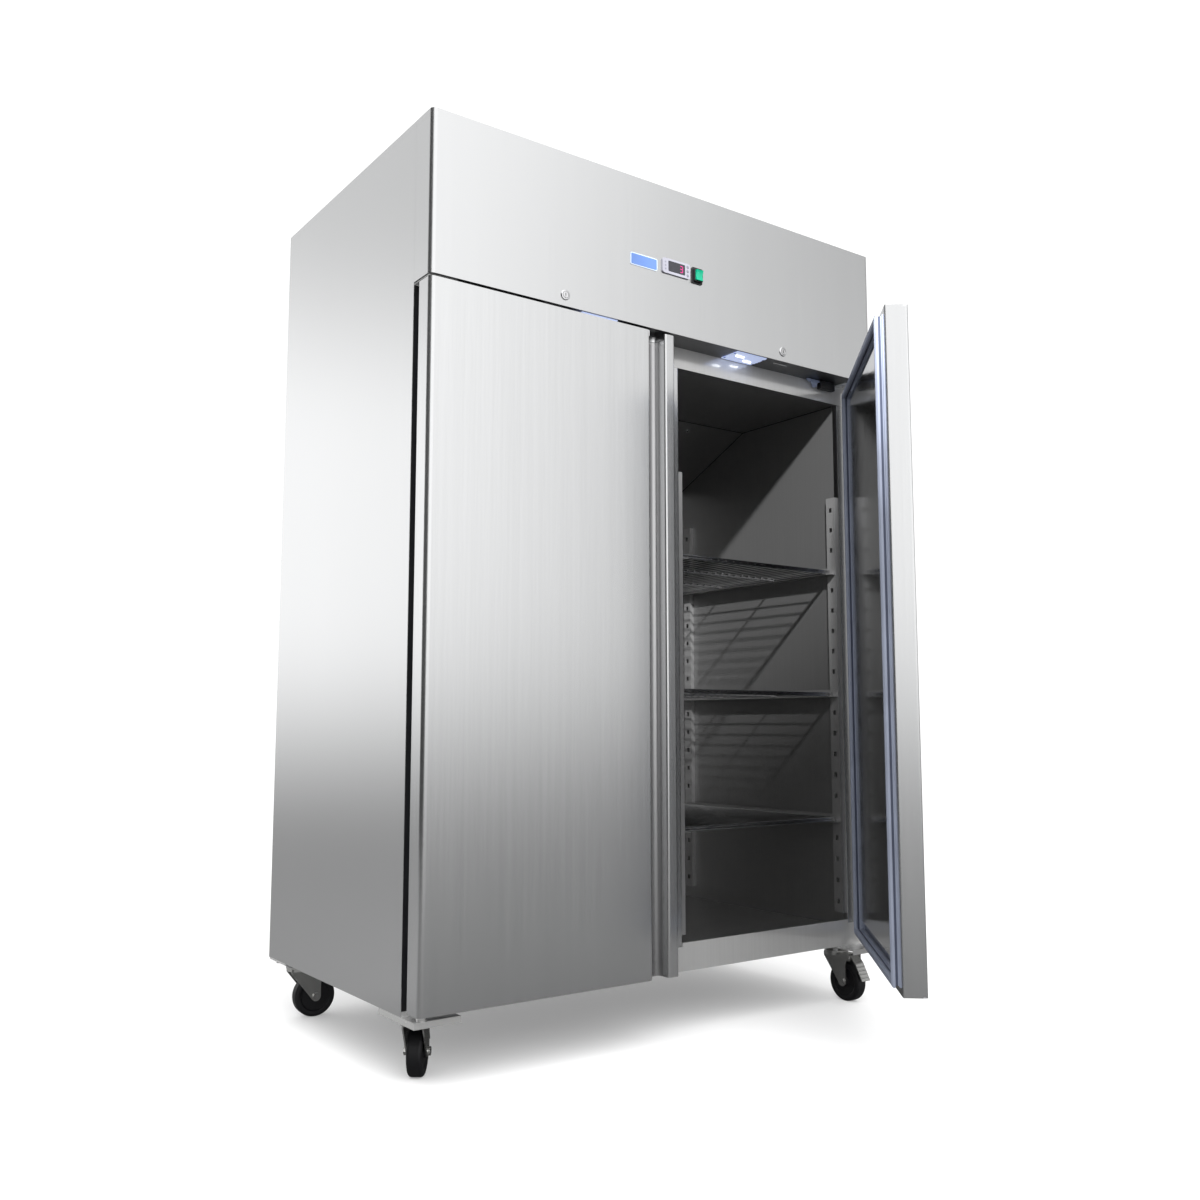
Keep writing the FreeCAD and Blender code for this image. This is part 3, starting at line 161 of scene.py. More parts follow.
def dull_sheet(name, colour, rough, metallic=0.82):
    """Mill-finish lining sheet, partly scattering, with faint rolling marks."""
    surface = Surface(name, colour, metallic=metallic, rough=rough)
    marks = surface.noise((260, 260, 3.0), detail=3.0)
    haze = surface.noise((3.0, 3.0, 2.0), detail=3.0)
    surface.tint(marks, 0.94, 1.06)
    surface.rough(haze, rough - 0.05, rough + 0.06)
    surface.bump(marks, 0.03, 0.0002)
    return surface.material


def polished(name, colour, rough):
    """Bright-polished metal with a slight unevenness."""
    surface = Surface(name, colour, metallic=1.0, rough=rough)
    haze = surface.noise((30, 30, 30), detail=3.0)
    surface.rough(haze, rough * 0.7, rough * 1.4)
    surface.tint(haze, 0.94, 1.04)
    surface.bump(surface.noise((9, 9, 9)), 0.03, 0.002)
    return surface.material


def plated(name, colour, rough, bump=0.12, metallic=1.0):
    """Zinc-plated pressing: mottled tone and a fine orange-peel."""
    surface = Surface(name, colour, metallic=metallic, rough=rough)
    mottle = surface.noise((160, 160, 160), detail=4.0)
    surface.tint(surface.ranged(mottle, 0.0, 1.0), 0.96, 1.03)
    surface.rough(mottle, rough - 0.03, rough + 0.04)
    surface.bump(surface.noise((900, 900, 900)), bump, 0.0001)
    return surface.material


def plastic(name, colour, rough, grain=900.0, bump=0.08, spread=0.08):
    """Moulded plastic or rubber with a fine grained skin."""
    surface = Surface(name, colour, rough=rough)
    speckle = surface.noise((grain, grain, grain), detail=3.0)
    drift = surface.noise((14, 14, 14), detail=3.0)
    surface.tint(surface.ranged(drift, 0.0, 1.0), 1.0 - spread, 1.0 + spread)
    surface.rough(drift, max(0.02, rough - 0.06), rough + 0.08)
    surface.bump(speckle, bump, 0.0002)
    return surface.material


def foam(name, colour):
    """Cut polyurethane foam: open cells and a warm tone."""
    surface = Surface(name, colour, rough=0.95)
    cells = surface.node("TexVoronoi")
    cells.inputs["Scale"].default_value = 700.0
    surface.link(surface.node("TexCoord").outputs["Object"], cells.inputs["Vector"])
    surface.tint(cells.outputs["Distance"], 0.8, 1.08)
    surface.bump(cells.outputs["Distance"], 0.5, 0.001)
    return surface.material


def display_glass(name, colour):
    surface = Surface(name, colour, rough=0.08)
    surface.set("Coat Weight", 0.6)
    surface.set("Coat Roughness", 0.03)
    smear = surface.noise((120, 120, 120), detail=4.0)
    surface.tint(smear, 0.6, 1.5)
    surface.rough(smear, 0.05, 0.16)
    return surface.material


def glowing(name, colour, strength, rough=0.3):
    """Lit translucent plastic with a slightly uneven glow."""
    surface = Surface(name, colour, rough=rough)
    uneven = surface.noise((60, 60, 60), detail=2.0)
    surface.tint(uneven, 0.85, 1.1)
    surface.set("Emission Color", (*colour, 1.0))
    surface.set("Emission Strength", strength)
    surface.bump(surface.noise((700, 700, 700)), 0.1, 0.0002)
    return surface.material


def translucent(name, colour, rough, share):
    """Tinted moulded plastic that light passes into."""
    surface = Surface(name, colour, rough=rough)
    drift = surface.noise((90, 90, 90), detail=3.0)
    surface.tint(drift, 0.8, 1.2)
    surface.set("Transmission Weight", share)
    surface.set("IOR", 1.49)
    surface.set("Coat Weight", 0.4)
    surface.bump(surface.noise((500, 500, 500)), 0.05, 0.0002)
    return surface.material


STEEL = (0.66, 0.665, 0.67)
MATERIALS = {               # one for each material slot of the record
    "body_steel": brushed("body_steel", STEEL, 0.26, cloud=0.012, streak=0.010, bump=0.008),
    "back_steel": brushed("back_steel", (0.55, 0.56, 0.565), 0.38, cloud=0.09, bump=0.04),
    "foam": foam("foam", (0.86, 0.80, 0.62)),
    "liner_steel": dull_sheet("liner_steel", (0.40, 0.40, 0.40), 0.34),
    "rack_steel": dull_sheet("rack_steel", (0.50, 0.50, 0.50), 0.30, metallic=0.70),
    "shelf_wire": polished("shelf_wire", (0.60, 0.60, 0.605), 0.16),
    "door_steel": brushed("door_steel", STEEL, 0.25, streak=0.03, bump=0.05),
    "badge": plastic("badge", (0.10, 0.18, 0.42), 0.22, grain=300.0, bump=0.02),
    "bezel": plastic("bezel", (0.27, 0.27, 0.31), 0.30, grain=1200.0, bump=0.04),
    "display": display_glass("display", (0.016, 0.016, 0.022)),
    "key": plastic("key", (0.16, 0.16, 0.19), 0.38),
    "switch_black": plastic("switch_black", (0.014, 0.014, 0.015), 0.34),
    "rocker_green": translucent("rocker_green", (0.0, 0.30, 0.17), 0.16, 0.2),
    "lock_chrome": polished("lock_chrome", (0.72, 0.72, 0.73), 0.09),
    "lamp_body": plastic("lamp_body", (0.70, 0.71, 0.73), 0.4),
    "lamp_lens": glowing("lamp_lens", (0.52, 0.60, 0.86), 0.70),
    "sensor_plastic": plastic("sensor_plastic", (0.36, 0.42, 0.60), 0.4),
    "compressor_black": plastic("compressor_black", (0.012, 0.012, 0.013), 0.32, grain=260.0),
    "coil": plated("coil", (0.62, 0.62, 0.63), 0.35),
    "shroud": plastic("shroud", (0.03, 0.03, 0.032), 0.5, grain=400.0),
    "fan_blade": plastic("fan_blade", (0.03, 0.03, 0.03), 0.42),
    "cap_plastic": plastic("cap_plastic", (0.50, 0.51, 0.53), 0.36),
    "gasket": plastic("gasket", (0.40, 0.44, 0.56), 0.42, bump=0.04),
    "bracket_steel": plated("bracket_steel", (0.80, 0.80, 0.79), 0.24, bump=0.04, metallic=0.6),
    "castor_zinc": plated("castor_zinc", (0.60, 0.60, 0.585), 0.22, bump=0.05, metallic=0.85),
    "castor_tread": plastic("castor_tread", (0.004, 0.004, 0.006), 0.55, grain=500.0),
    "screw_steel": plated("screw_steel", (0.66, 0.66, 0.67), 0.24, metallic=0.8),
}
# materials of single faces and small pieces
DIGIT = glowing("display_digit", (0.45, 0.02, 0.16), 0.35)
LAMP_GLOW = glowing("lamp_glow", (0.92, 0.95, 1.0), 3.5)
# painted shade: a darker copy of the gasket plastic for the profile's valleys and waists
GASKET_PAINTED_SHADE = plastic("gasket_painted_shade", (0.09, 0.105, 0.16), 0.55)
# painted shade: darker door steel for the inside of the handle channel
CHANNEL_PAINTED_SHADE = brushed("channel_painted_shade", (0.46, 0.46, 0.465), 0.28)
# painted shade: dark steel for the header's downward faces
UNDERSIDE_PAINTED_SHADE = brushed("underside_painted_shade", (0.16, 0.16, 0.165), 0.30, grain=GRAIN_ALONG_Y)
# near-black: sealant beads in the lining's joints, and painted shade on the strips in the gaps behind the doors'
# hinge edges
SEALANT_AND_GAP_SHADE = plastic("sealant", (0.012, 0.012, 0.013), 0.5)
BADGE_RIM = plastic("badge_rim", (0.50, 0.58, 0.72), 0.3, grain=300.0, bump=0.02)
RAIL_POLISH = polished("rail_polish", (0.62, 0.625, 0.63), 0.13)
# bright rail steel made pale and partly matt: a painted reflection that stands in for the polished rails mirroring
# the bright floor
RAIL_PAINTED_REFLECTION = dull_sheet("rail_painted_reflection", (0.86, 0.86, 0.855), 0.13, metallic=0.35)

for node, thing in frame["nodes"].items():
    thing.data.materials.clear()
    thing.data.materials.append(MATERIALS[NODE_SLOT[node]])
# the face rails take the pale rail steel, a painted reflection
frame["nodes"]["face_rails"].data.materials[0] = RAIL_PAINTED_REFLECTION


# ---- mesh helpers ---------------------------------------------------------------------------
SHARP = math.radians(32)


def finish_mesh(name, mesh, material, body, slot, bevel=0.0, segments=2, sheet=0.0):
    """Object for a mesh in the row frame, shaded smooth between its sharp edges.

    A sheet thickness makes a solid of an open surface, and a bevel rounds its edges. Normals
    are weighted by area, so that a flat face stays flat beside a small round."""
    piece = bpy.data.objects.new(name, mesh)
    bpy.context.scene.collection.objects.link(piece)
    mesh.materials.clear()
    mesh.materials.append(material)
    mesh.shade_smooth()
    if bevel:
        modifier = piece.modifiers.new("edges", "BEVEL")
        modifier.width = bevel
        modifier.segments = segments
        modifier.limit_method = "ANGLE"
        modifier.angle_limit = SHARP
        modifier.harden_normals = True
    else:
        mesh.set_sharp_from_angle(angle=SHARP)
    if sheet:
        shell = piece.modifiers.new("sheet", "SOLIDIFY")
        shell.thickness = sheet
        shell.offset = -1.0
        shell.use_even_offset = True
    weigh = piece.modifiers.new("normals", "WEIGHTED_NORMAL")
    weigh.keep_sharp = True
    weigh.weight = 100
    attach(piece, body)
    return piece


def from_faces(name, points, faces, material, body, slot, place=None, **options):
    """Piece from points and faces; place is a matrix that takes them to the row frame."""
    made = bmesh.new()
    corners = [made.verts.new(point) for point in points]
    for face in faces:
        made.faces.new([corners[index] for index in face])
    if place is not None:
        made.transform(place)
    bmesh.ops.remove_doubles(made, verts=made.verts, dist=1e-6)
    bmesh.ops.recalc_face_normals(made, faces=made.faces)
    mesh = bpy.data.meshes.new(name)
    made.to_mesh(mesh)
    made.free()
    return finish_mesh(name, mesh, material, body, slot, **options)


def refined(node, bevel, segments=2, material=None):
    """Copy of a CAD node with softly rounded edges, shown in the node's place."""
    made = bmesh.new()
    made.from_mesh(frame["nodes"][node].data)
    bmesh.ops.remove_doubles(made, verts=made.verts, dist=1e-6)
    bmesh.ops.dissolve_limit(made, angle_limit=math.radians(1), verts=made.verts, edges=made.edges)
    mesh = bpy.data.meshes.new(node + "_finish")
    made.to_mesh(mesh)
    made.free()
    slot = NODE_SLOT[node]
    surface = material or MATERIALS[slot]
    piece = finish_mesh(node + "_finish", mesh, surface, NODE_BODY[node], slot, bevel, segments)
    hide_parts(node)
    return piece


def arc(centre, radius, start, end, steps):
    """Points on an arc, from one angle to the other in degrees, both ends included."""
    points = []
    for step in range(steps + 1):
        angle = math.radians(start + (end - start) * step / steps)
        points.append((centre[0] + radius * math.cos(angle), centre[1] + radius * math.sin(angle)))
    return points


def prism(outline, low, high):
    """Points and faces of an upright prism on an outline in the XY plane."""
    count = len(outline)
    points = [(x, y, low) for x, y in outline] + [(x, y, high) for x, y in outline]
    faces = [tuple(reversed(range(count))), tuple(range(count, 2 * count))]
    for index in range(count):
        after = (index + 1) % count
        faces.append((index, after, after + count, index + count))
    return points, faces


def lathe(profile, steps=48):
    """Points and faces of a turned body about the Z axis; profile is (radius, z) pairs."""
    points = []
    faces = []
    for step in range(steps):
        angle = 2 * math.pi * step / steps
        points += [(r * math.cos(angle), r * math.sin(angle), z) for r, z in profile]
    count = len(profile)
    for step in range(steps):
        after = (step + 1) % steps
        for index in range(count - 1):
            faces.append((step * count + index, after * count + index,
                          after * count + index + 1, step * count + index + 1))
    return points, faces


def joined(parts):
    """One list of points and faces from several."""
    points = []
    faces = []
    for part_points, part_faces in parts:
        start = len(points)
        points += part_points
        faces += [tuple(index + start for index in face) for face in part_faces]
    return points, faces


def moved(part, matrix):
    points, faces = part
    return [tuple(matrix @ Vector(point)) for point in points], faces


def block(low, high):
    """Points and faces of an upright box between two corners."""
    outline = [(low[0], low[1]), (high[0], low[1]), (high[0], high[1]), (low[0], high[1])]
    return prism(outline, low[2], high[2])


def rod(start, end, radius, steps=12):
    """Points and faces of a round bar with slightly domed ends."""
    start = Vector(start)
    run = Vector(end) - start
    length = run.length
    lip = min(radius * 0.35, length * 0.2)
    profile = [(0.0, 0.0), (radius - lip, 0.0), (radius, lip), (radius, length - lip),
               (radius - lip, length), (0.0, length)]
    turn = Vector((0, 0, 1)).rotation_difference(run).to_matrix().to_4x4()
    return moved(lathe(profile, steps), Matrix.Translation(start) @ turn)


def between(node):
    low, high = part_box(node)
    return low, high, (low + high) / 2


# ---- doors ----------------------------------------------------------------------------------
HINGE = Vector(JOINTS["door_right_hinge"]["pos_m"])
OPEN = -math.radians(JOINTS["door_right_hinge"]["range_deg"][0])
SWING = Matrix.Translation(HINGE) @ Matrix.Rotation(OPEN, 4, "Z") @ Matrix.Translation(-HINGE)
MIRROR = Matrix.Scale(-1, 4, (1, 0, 0))
DOOR_PLACE = {"left": MIRROR, "right": SWING}

# the closed right-hand door's outer sheet, from the box of its mirror image on the left
door_low, door_high, _ = between("door_skin_left")
FRONT = door_low.y
DOOR_FREE = -door_high.x
DOOR_HINGE = -door_low.x
DOOR_BOTTOM = door_low.z
DOOR_TOP = door_high.z
DOOR_REAR = door_high.y
EDGE_ROLL = 0.012           # radius of the upright front edge at the hinge side
FLANGE_ROUND = 0.005        # radius of the grip flange's two upright edges
BACK_ROUND = 0.002          # radius of the sheet's upright edges at the back
RETURN = 0.014              # how far the sheet is folded in across the back
FLANGE = DOOR_FREE + 0.030  # where the grip flange ends and the handle channel starts
CHANNEL = FLANGE + 0.046    # where the channel ends and the flat face starts
CHANNEL_DEEP = 0.036
CHANNEL_LIP = 0.003         # radius where the flat face turns into the channel
CHANNEL_ROUND = 0.013       # radius at the bottom of the channel, behind the grip flange
END_BAND = 0.013            # height of the band that closes the handle channel's top end
BACK_STRIP = 0.0165         # height of the folded strips across the door's back


def channel_outline(grow=0.0):
    """Handle channel in plan, from the front face's edge round to the grip flange."""
    lip = CHANNEL_LIP + grow
    tight = CHANNEL_ROUND - grow
    wide = CHANNEL_DEEP - CHANNEL_LIP - grow
    floor = FRONT + CHANNEL_DEEP - grow
    x = CHANNEL + CHANNEL_LIP
    y = FRONT + CHANNEL_LIP
    points = arc((x, y), lip, 270, 180, 5)
    points += arc((x - CHANNEL_DEEP, y), wide, 0, 90, 18)[1:]
    points += arc((FLANGE + CHANNEL_ROUND, floor - tight), tight, 90, 180, 10)
    points += arc((FLANGE - FLANGE_ROUND, FRONT + FLANGE_ROUND), FLANGE_ROUND, 0, -90, 6)
    return points


def door_outline():
    """Plan of the closed right-hand door's outer sheet, from the hinge edge round to the back."""
    rear = DOOR_REAR - BACK_ROUND
    points = [(DOOR_HINGE - RETURN, DOOR_REAR)]
    points += arc((DOOR_HINGE - BACK_ROUND, rear), BACK_ROUND, 90, 0, 3)
    points += arc((DOOR_HINGE - EDGE_ROLL, FRONT + EDGE_ROLL), EDGE_ROLL, 0, -90, 12)
    points += channel_outline()
    points += arc((DOOR_FREE + FLANGE_ROUND, FRONT + FLANGE_ROUND), FLANGE_ROUND, -90, -180, 6)
    points += arc((DOOR_FREE + BACK_ROUND, rear), BACK_ROUND, 180, 90, 3)
    points.append((DOOR_FREE + RETURN, DOOR_REAR))
    return points


def end_height(x, y):
    """How far the sheet's end is cut back at a point, which rounds the corners at the channel."""
    round_in = 0.009
    round_flange = 0.004
    cut = 0.0
    if FLANGE - 0.001 > x >= DOOR_FREE and y < FRONT + 0.010:
        for edge in (DOOR_FREE, FLANGE):
            reach = round_flange - abs(x - edge)
            if reach > 0:
                cut = max(cut, round_flange - math.sqrt(round_flange ** 2 - reach ** 2))
    if CHANNEL <= x < CHANNEL + round_in and y < FRONT + 0.004:
        reach = round_in - (x - CHANNEL)
        cut = max(cut, round_in - math.sqrt(max(0.0, round_in ** 2 - reach ** 2)))
    return cut


def dense(outline, longest):
    """Outline with long straight runs near the channel divided, so that its ends can be rounded."""
    points = []
    for start, end in zip(outline, outline[1:]):
        points.append(start)
        gap = math.dist(start, end)
        if gap > longest and max(start[0], end[0]) < CHANNEL + 0.02:
            parts = int(gap / longest) + 1
            for part in range(1, parts):
                share = part / parts
                points.append((start[0] + (end[0] - start[0]) * share,
                               start[1] + (end[1] - start[1]) * share))
    points.append(outline[-1])
    return points


def door_skin(side):
    """Outer sheet of a door with its handle channel and rounded ends."""
    outline = door_outline()
    # extra points on the flat face beside the channel, so that its end can be rounded
    extra = [(CHANNEL + CHANNEL_LIP + step * 0.0015, FRONT) for step in range(1, 6)]
    place_in = next(index for index, point in enumerate(outline)
                    if point[1] <= FRONT + 1e-6 and point[0] > CHANNEL + 0.1)
    outline = outline[:place_in + 1] + list(reversed(extra)) + outline[place_in + 1:]
    outline = dense(outline, 0.0016)
    count = len(outline)
    points = []
    for x, y in outline:
        points.append((x, y, DOOR_BOTTOM + end_height(x, y)))
    for x, y in outline:
        points.append((x, y, DOOR_TOP - end_height(x, y)))
    faces = [(index, index + 1, index + 1 + count, index + count) for index in range(count - 1)]
    name = "door_skin_" + side
    piece = from_faces(name + "_sheet", points, faces, MATERIALS["door_steel"], "door_" + side,
                       "door_steel", place=DOOR_PLACE[side], sheet=0.0008)
    # the channel's faces take the darker steel, painted shade inside the recess
    piece.data.materials.append(CHANNEL_PAINTED_SHADE)
    for face, start, end in zip(piece.data.polygons, outline, outline[1:]):
        middle = ((start[0] + end[0]) / 2, (start[1] + end[1]) / 2)
        if FLANGE < middle[0] < CHANNEL and middle[1] > FRONT + 0.0015:
            face.material_index = 1
    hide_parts(name)


def door_ends(side):
    """Folded strips across the door's back, and the band that closes the channel's top end."""
    outer = channel_outline(-0.0004)[4:-5]
    inner = channel_outline(0.0016)[4:-5]
    top = DOOR_TOP - 0.0005
    parts = [prism(outer + list(reversed(inner)), top - END_BAND, top)]
    for low, high in ((DOOR_BOTTOM, DOOR_BOTTOM + BACK_STRIP), (DOOR_TOP - BACK_STRIP, DOOR_TOP)):
        parts.append(block((DOOR_FREE + 0.0015, DOOR_REAR - 0.0008, low),
                           (DOOR_HINGE - 0.0015, DOOR_REAR - 0.0001, high)))
    from_faces("door_ends_" + side, *joined(parts), MATERIALS["door_steel"], "door_" + side,
               "door_steel", place=DOOR_PLACE[side])


GASKET_PROFILE = [          # (across the strip from its outer edge, out from the door), millimetres
    (0.6, 0.0), (0.2, 1.2), (0.6, 2.6), (3.2, 3.6), (4.2, 5.0), (4.2, 7.4), (3.2, 8.6), (0.9, 9.2),
    (0.0, 10.4), (0.0, 12.2), (1.0, 13.4), (3.0, 13.0), (4.4, 14.6), (6.0, 15.2), (7.6, 14.8),
    (9.0, 13.2), (10.4, 14.8), (12.2, 15.2), (14.0, 14.8), (15.6, 13.0), (17.4, 13.6), (18.6, 12.4),
    (18.6, 10.6), (17.8, 9.4), (15.8, 8.6), (14.6, 7.2), (14.6, 5.0), (15.8, 3.6), (18.8, 2.8),
    (20.0, 1.6), (19.6, 0.0)]
GASKET_SHADED = (4, 5, 10, 15, 24, 25)      # strips of the profile in its valleys and waists, given painted shade


def gasket(side):
    """Ribbed magnetic gasket: one profile run round the door with mitred corners."""
    # the closed door's ring, worked out from the shut left door
    low, high, _ = between("door_gasket_left")
    x = (-high.x, -low.x)
    z = (low.z, high.z)
    rise = (high.y - low.y) / max(out for _, out in GASKET_PROFILE) * 0.985
    corners = ((x[0], z[0], 1, 1), (x[1], z[0], -1, 1), (x[1], z[1], -1, -1), (x[0], z[1], 1, -1))
    points = []
    for corner_x, corner_z, dx, dz in corners:
        for across, out in GASKET_PROFILE:
            step = across / 1000
            points.append((corner_x + dx * step, low.y + out * rise, corner_z + dz * step))
    count = len(GASKET_PROFILE)
    faces = []
    for corner in range(4):
        after = (corner + 1) % 4
        for index in range(count):
            near = (index + 1) % count
            faces.append((corner * count + index, after * count + index,
                          after * count + near, corner * count + near))
    name = "door_gasket_" + side
    piece = from_faces(name + "_ring", points, faces, MATERIALS["gasket"], "door_" + side, "gasket",
                       place=DOOR_PLACE[side])
    # the valley and waist strips take the darker material, painted shade in the gasket's folds
    piece.data.materials.append(GASKET_PAINTED_SHADE)
    for face in piece.data.polygons:
        if face.index % count in GASKET_SHADED:
            face.material_index = 1
    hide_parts(name)


for side in ("left", "right"):
    door_skin(side)
    door_ends(side)
    gasket(side)
    refined("door_liner_" + side, 0.0012, material=RAIL_POLISH)


# ---- body and frame -------------------------------------------------------------------------
jamb_low, jamb_high, _ = between("jambs")
BAY_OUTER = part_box("liner")[1].x - 0.001
FACE = jamb_low.y


def jamb_pieces():
    """Frame uprights outside the openings, each rolled back round the opening's edge."""
    roll = 0.002
    edge = FACE + 0.016             # where the lining of the opening's edge ends, inside
    inner = BAY_OUTER - 0.0005
    lining = inner + 0.0004
    outline = [(jamb_high.x, FACE), (inner + roll, FACE)]
    outline += arc((inner + roll, FACE + roll), roll, 270, 180, 8)
    outline += [(inner, edge), (lining, edge), (lining, FACE + roll),
                (inner + roll, FACE + 0.0008), (jamb_high.x, FACE + 0.0008)]
    parts = []
    for sign in (-1, 1):
        parts.append(prism([(sign * x, y) for x, y in outline], jamb_low.z, jamb_high.z))
    piece = from_faces("jamb_sheets", *joined(parts), MATERIALS["body_steel"], "cabinet",
                       "body_steel")
    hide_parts("jambs")


def gap_shade_strips():
    """Black strips on the frame behind the doors' hinge edges: painted shade for the gap between door and frame.
    """
    inner = 0.652           # from here outward, seen between the door and the frame
    parts = []
    for sign in (-1, 1):
        x = sorted((sign * inner, sign * jamb_high.x))
        parts.append(block((x[0], FACE - 0.0005, DOOR_BOTTOM), (x[1], FACE - 0.0001, DOOR_TOP)))
    from_faces("gap_shade_strips", *joined(parts), SEALANT_AND_GAP_SHADE, "cabinet", "gasket")


def paint_underside_shade():
    """Darker steel for the underside of the header, above the doors: painted shade under the overhang."""
    header = frame["nodes"]["header_cover"].data
    header.materials.append(UNDERSIDE_PAINTED_SHADE)
    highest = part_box("header_cover")[0].z + 0.003
    for face in header.polygons:
        if face.normal.z < -0.9 and face.center.z < highest:
            face.material_index = 1


def liner_seams():
    """Beads of sealant where the duct cover meets the ceiling and the side walls."""
    low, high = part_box("air_duct_cover")
    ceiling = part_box("liner")[1].z - 0.001
    bead = 0.0016
    parts = [rod((low.x, low.y, high.z), (high.x, low.y, high.z), bead)]
    for x in (low.x, high.x):
        parts.append(rod((x, FACE + 0.020, ceiling), (x, low.y, ceiling), bead))
        parts.append(rod((x, low.y, high.z), (x, high.y, low.z), bead))
    from_faces("liner_seams", *joined(parts), SEALANT_AND_GAP_SHADE, "cabinet", "gasket")


jamb_pieces()
gap_shade_strips()
paint_underside_shade()
liner_seams()
refined("hinge_brackets", 0.0006)
refined("mullion", 0.0004)
refined("shelf_runners", 0.0003)
for side in ("left", "right"):
    refined("side_panel_" + side, 0.0003)


# ---- shelves --------------------------------------------------------------------------------
ROD_R = 0.003
WIRE_R = 0.0019
CROSS_R = 0.0026            # radius of the two rods under the wires
TAIL_R = 0.0011             # radius of a wire's end bent down between the edge rods
BAR_H = 0.012               # height of a shelf's edge, over its two rods
SHELF_STEP = 0.3288         # from one shelf to the next, six slots of the pilasters
WIRES = 20


def shelf(low, high):
    """Wire grid: doubled rods round the edge, cross rods and closely spaced wires."""
    parts = []
    top = high.z - ROD_R
    under = high.z - BAR_H + ROD_R
    x = (low.x + ROD_R, high.x - ROD_R)
    y = (low.y + ROD_R, high.y - ROD_R)
    for z in (top, under):
        for end_y in y:
            parts.append(rod((x[0], end_y, z), (x[1], end_y, z), ROD_R))
        for end_x in x:
            parts.append(rod((end_x, y[0], z), (end_x, y[1], z), ROD_R))
    for share in (1 / 3, 2 / 3):
        middle = y[0] + (y[1] - y[0]) * share
        z = high.z - 0.0065
        parts.append(rod((x[0], middle, z), (x[1], middle, z), CROSS_R))
    pitch = (x[1] - x[0]) / (WIRES + 1)
    for number in range(1, WIRES + 1):
        across = x[0] + pitch * number
        z = high.z - WIRE_R
        start = Vector((across, y[0] + ROD_R, z))
        parts.append(rod(start, (across, y[1] - ROD_R, z), WIRE_R, steps=8))
        for end_y in y:
            parts.append(rod((across, end_y, high.z - 0.0042), (across, end_y, high.z - 0.0078),
                             TAIL_R, 6))
    return joined(parts)


def shelves(side):
    """The three grids of a bay, at the heights of the CAD ones."""
    node = "shelves_" + side
    low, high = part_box(node)
    heights = sorted({round(vertex.co.z, 4) for vertex in frame["nodes"][node].data.vertices})
    tops = [height for height in heights if round(height - BAR_H, 4) in heights]
    tops = [height for height in tops if abs(height - BAR_H - low.z) % SHELF_STEP < 0.001]
    grids = [shelf(Vector((low.x, low.y, 0)), Vector((high.x, high.y, top))) for top in tops]
    piece = from_faces(node + "_wires", *joined(grids), MATERIALS["shelf_wire"], "cabinet",
                       "shelf_wire")
    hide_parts(node)


for side in ("left", "right"):
    shelves(side)


# ---- castors --------------------------------------------------------------------------------
CASTORS = ("front_left", "front_right", "rear_left", "rear_right")


def castor_frame(name):
    """Matrix from a castor built about its axle, lying on Z, to its place in the row frame."""
    spin = JOINTS["castor_spin_" + name]
    axle = Vector(spin["axis"])
    upward = Vector((0, 0, 1))
    turn = Matrix((upward.cross(axle), upward, axle)).transposed()
    return Matrix.Translation(Vector(spin["pos_m"])) @ turn.to_4x4()


def wheel_profile():
    """Half section of the wheel: rounded tread, recessed web and long hub."""
    bore = 0.0061
    profile = [(bore, -0.0182), (0.0120, -0.0182), (0.0130, -0.0172), (0.0130, -0.0142),
               (0.0150, -0.0128), (0.0330, -0.0120), (0.0345, -0.0128), (0.0362, -0.0150),
               (0.0376, -0.0158), (0.0400, -0.0160)]
    profile += [(x, y) for x, y in arc((0.0430, -0.0090), 0.0070, -90, 0, 8)]
    upper = [(radius, -z) for radius, z in reversed(profile)]
    return profile + upper + [profile[0]]


for name in CASTORS:
    node = "castor_wheel_" + name
    points, faces = lathe(wheel_profile(), 72)
    wheel = from_faces(node + "_tyre", points, faces, MATERIALS["castor_tread"], "wheel_" + name,
                       "castor_tread", place=castor_frame(name))
    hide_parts(node)
    refined("castor_fork_" + name, 0.0007)
for name in CASTORS[:2]:
    refined("brake_pedal_" + name, 0.0004)
refined("castor_plates", 0.0005)


# ---- header details -------------------------------------------------------------------------
TO_FRONT = Matrix.Rotation(math.radians(90), 4, "X")


def facing(x, y, z):
    """Matrix for a body built up the Z axis, so that it stands out of the header's face."""
    return Matrix.Translation((x, y, z)) @ TO_FRONT


def rounded_rectangle(x, z, radius, steps=6):
    """Outline of a rounded rectangle from (low, high) pairs."""
    points = arc((x[1] - radius, z[1] - radius), radius, 0, 90, steps)
    points += arc((x[0] + radius, z[1] - radius), radius, 90, 180, steps)
    points += arc((x[0] + radius, z[0] + radius), radius, 180, 270, steps)
    points += arc((x[1] - radius, z[0] + radius), radius, 270, 360, steps)
    return points


def face_plate(x, z, radius, rear, front):
    """Upright rounded plate between two Y values."""
    outline = rounded_rectangle(x, z, radius)
    count = len(outline)
    points = [(a, rear, b) for a, b in outline] + [(a, front, b) for a, b in outline]
    faces = [tuple(range(count)), tuple(reversed(range(count, 2 * count)))]
    for index in range(count):
        after = (index + 1) % count
        faces.append((index, after, after + count, index + count))
    return points, faces


def badge():
    """Blank nameplate: a blue field inside a pale rim."""
    low, high, _ = between("badge_plate")
    rim = face_plate((low.x, high.x), (low.z, high.z), 0.004, high.y, low.y + 0.0004)
    piece = from_faces("badge_rim", *rim, BADGE_RIM, "cabinet", "badge", bevel=0.0004)
    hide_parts("badge_plate")
    edge = 0.0022
    field = face_plate((low.x + edge, high.x - edge), (low.z + edge, high.z - edge), 0.0025,
                       low.y + 0.0005, low.y)
    from_faces("badge_field", *field, MATERIALS["badge"], "cabinet", "badge", bevel=0.0002)


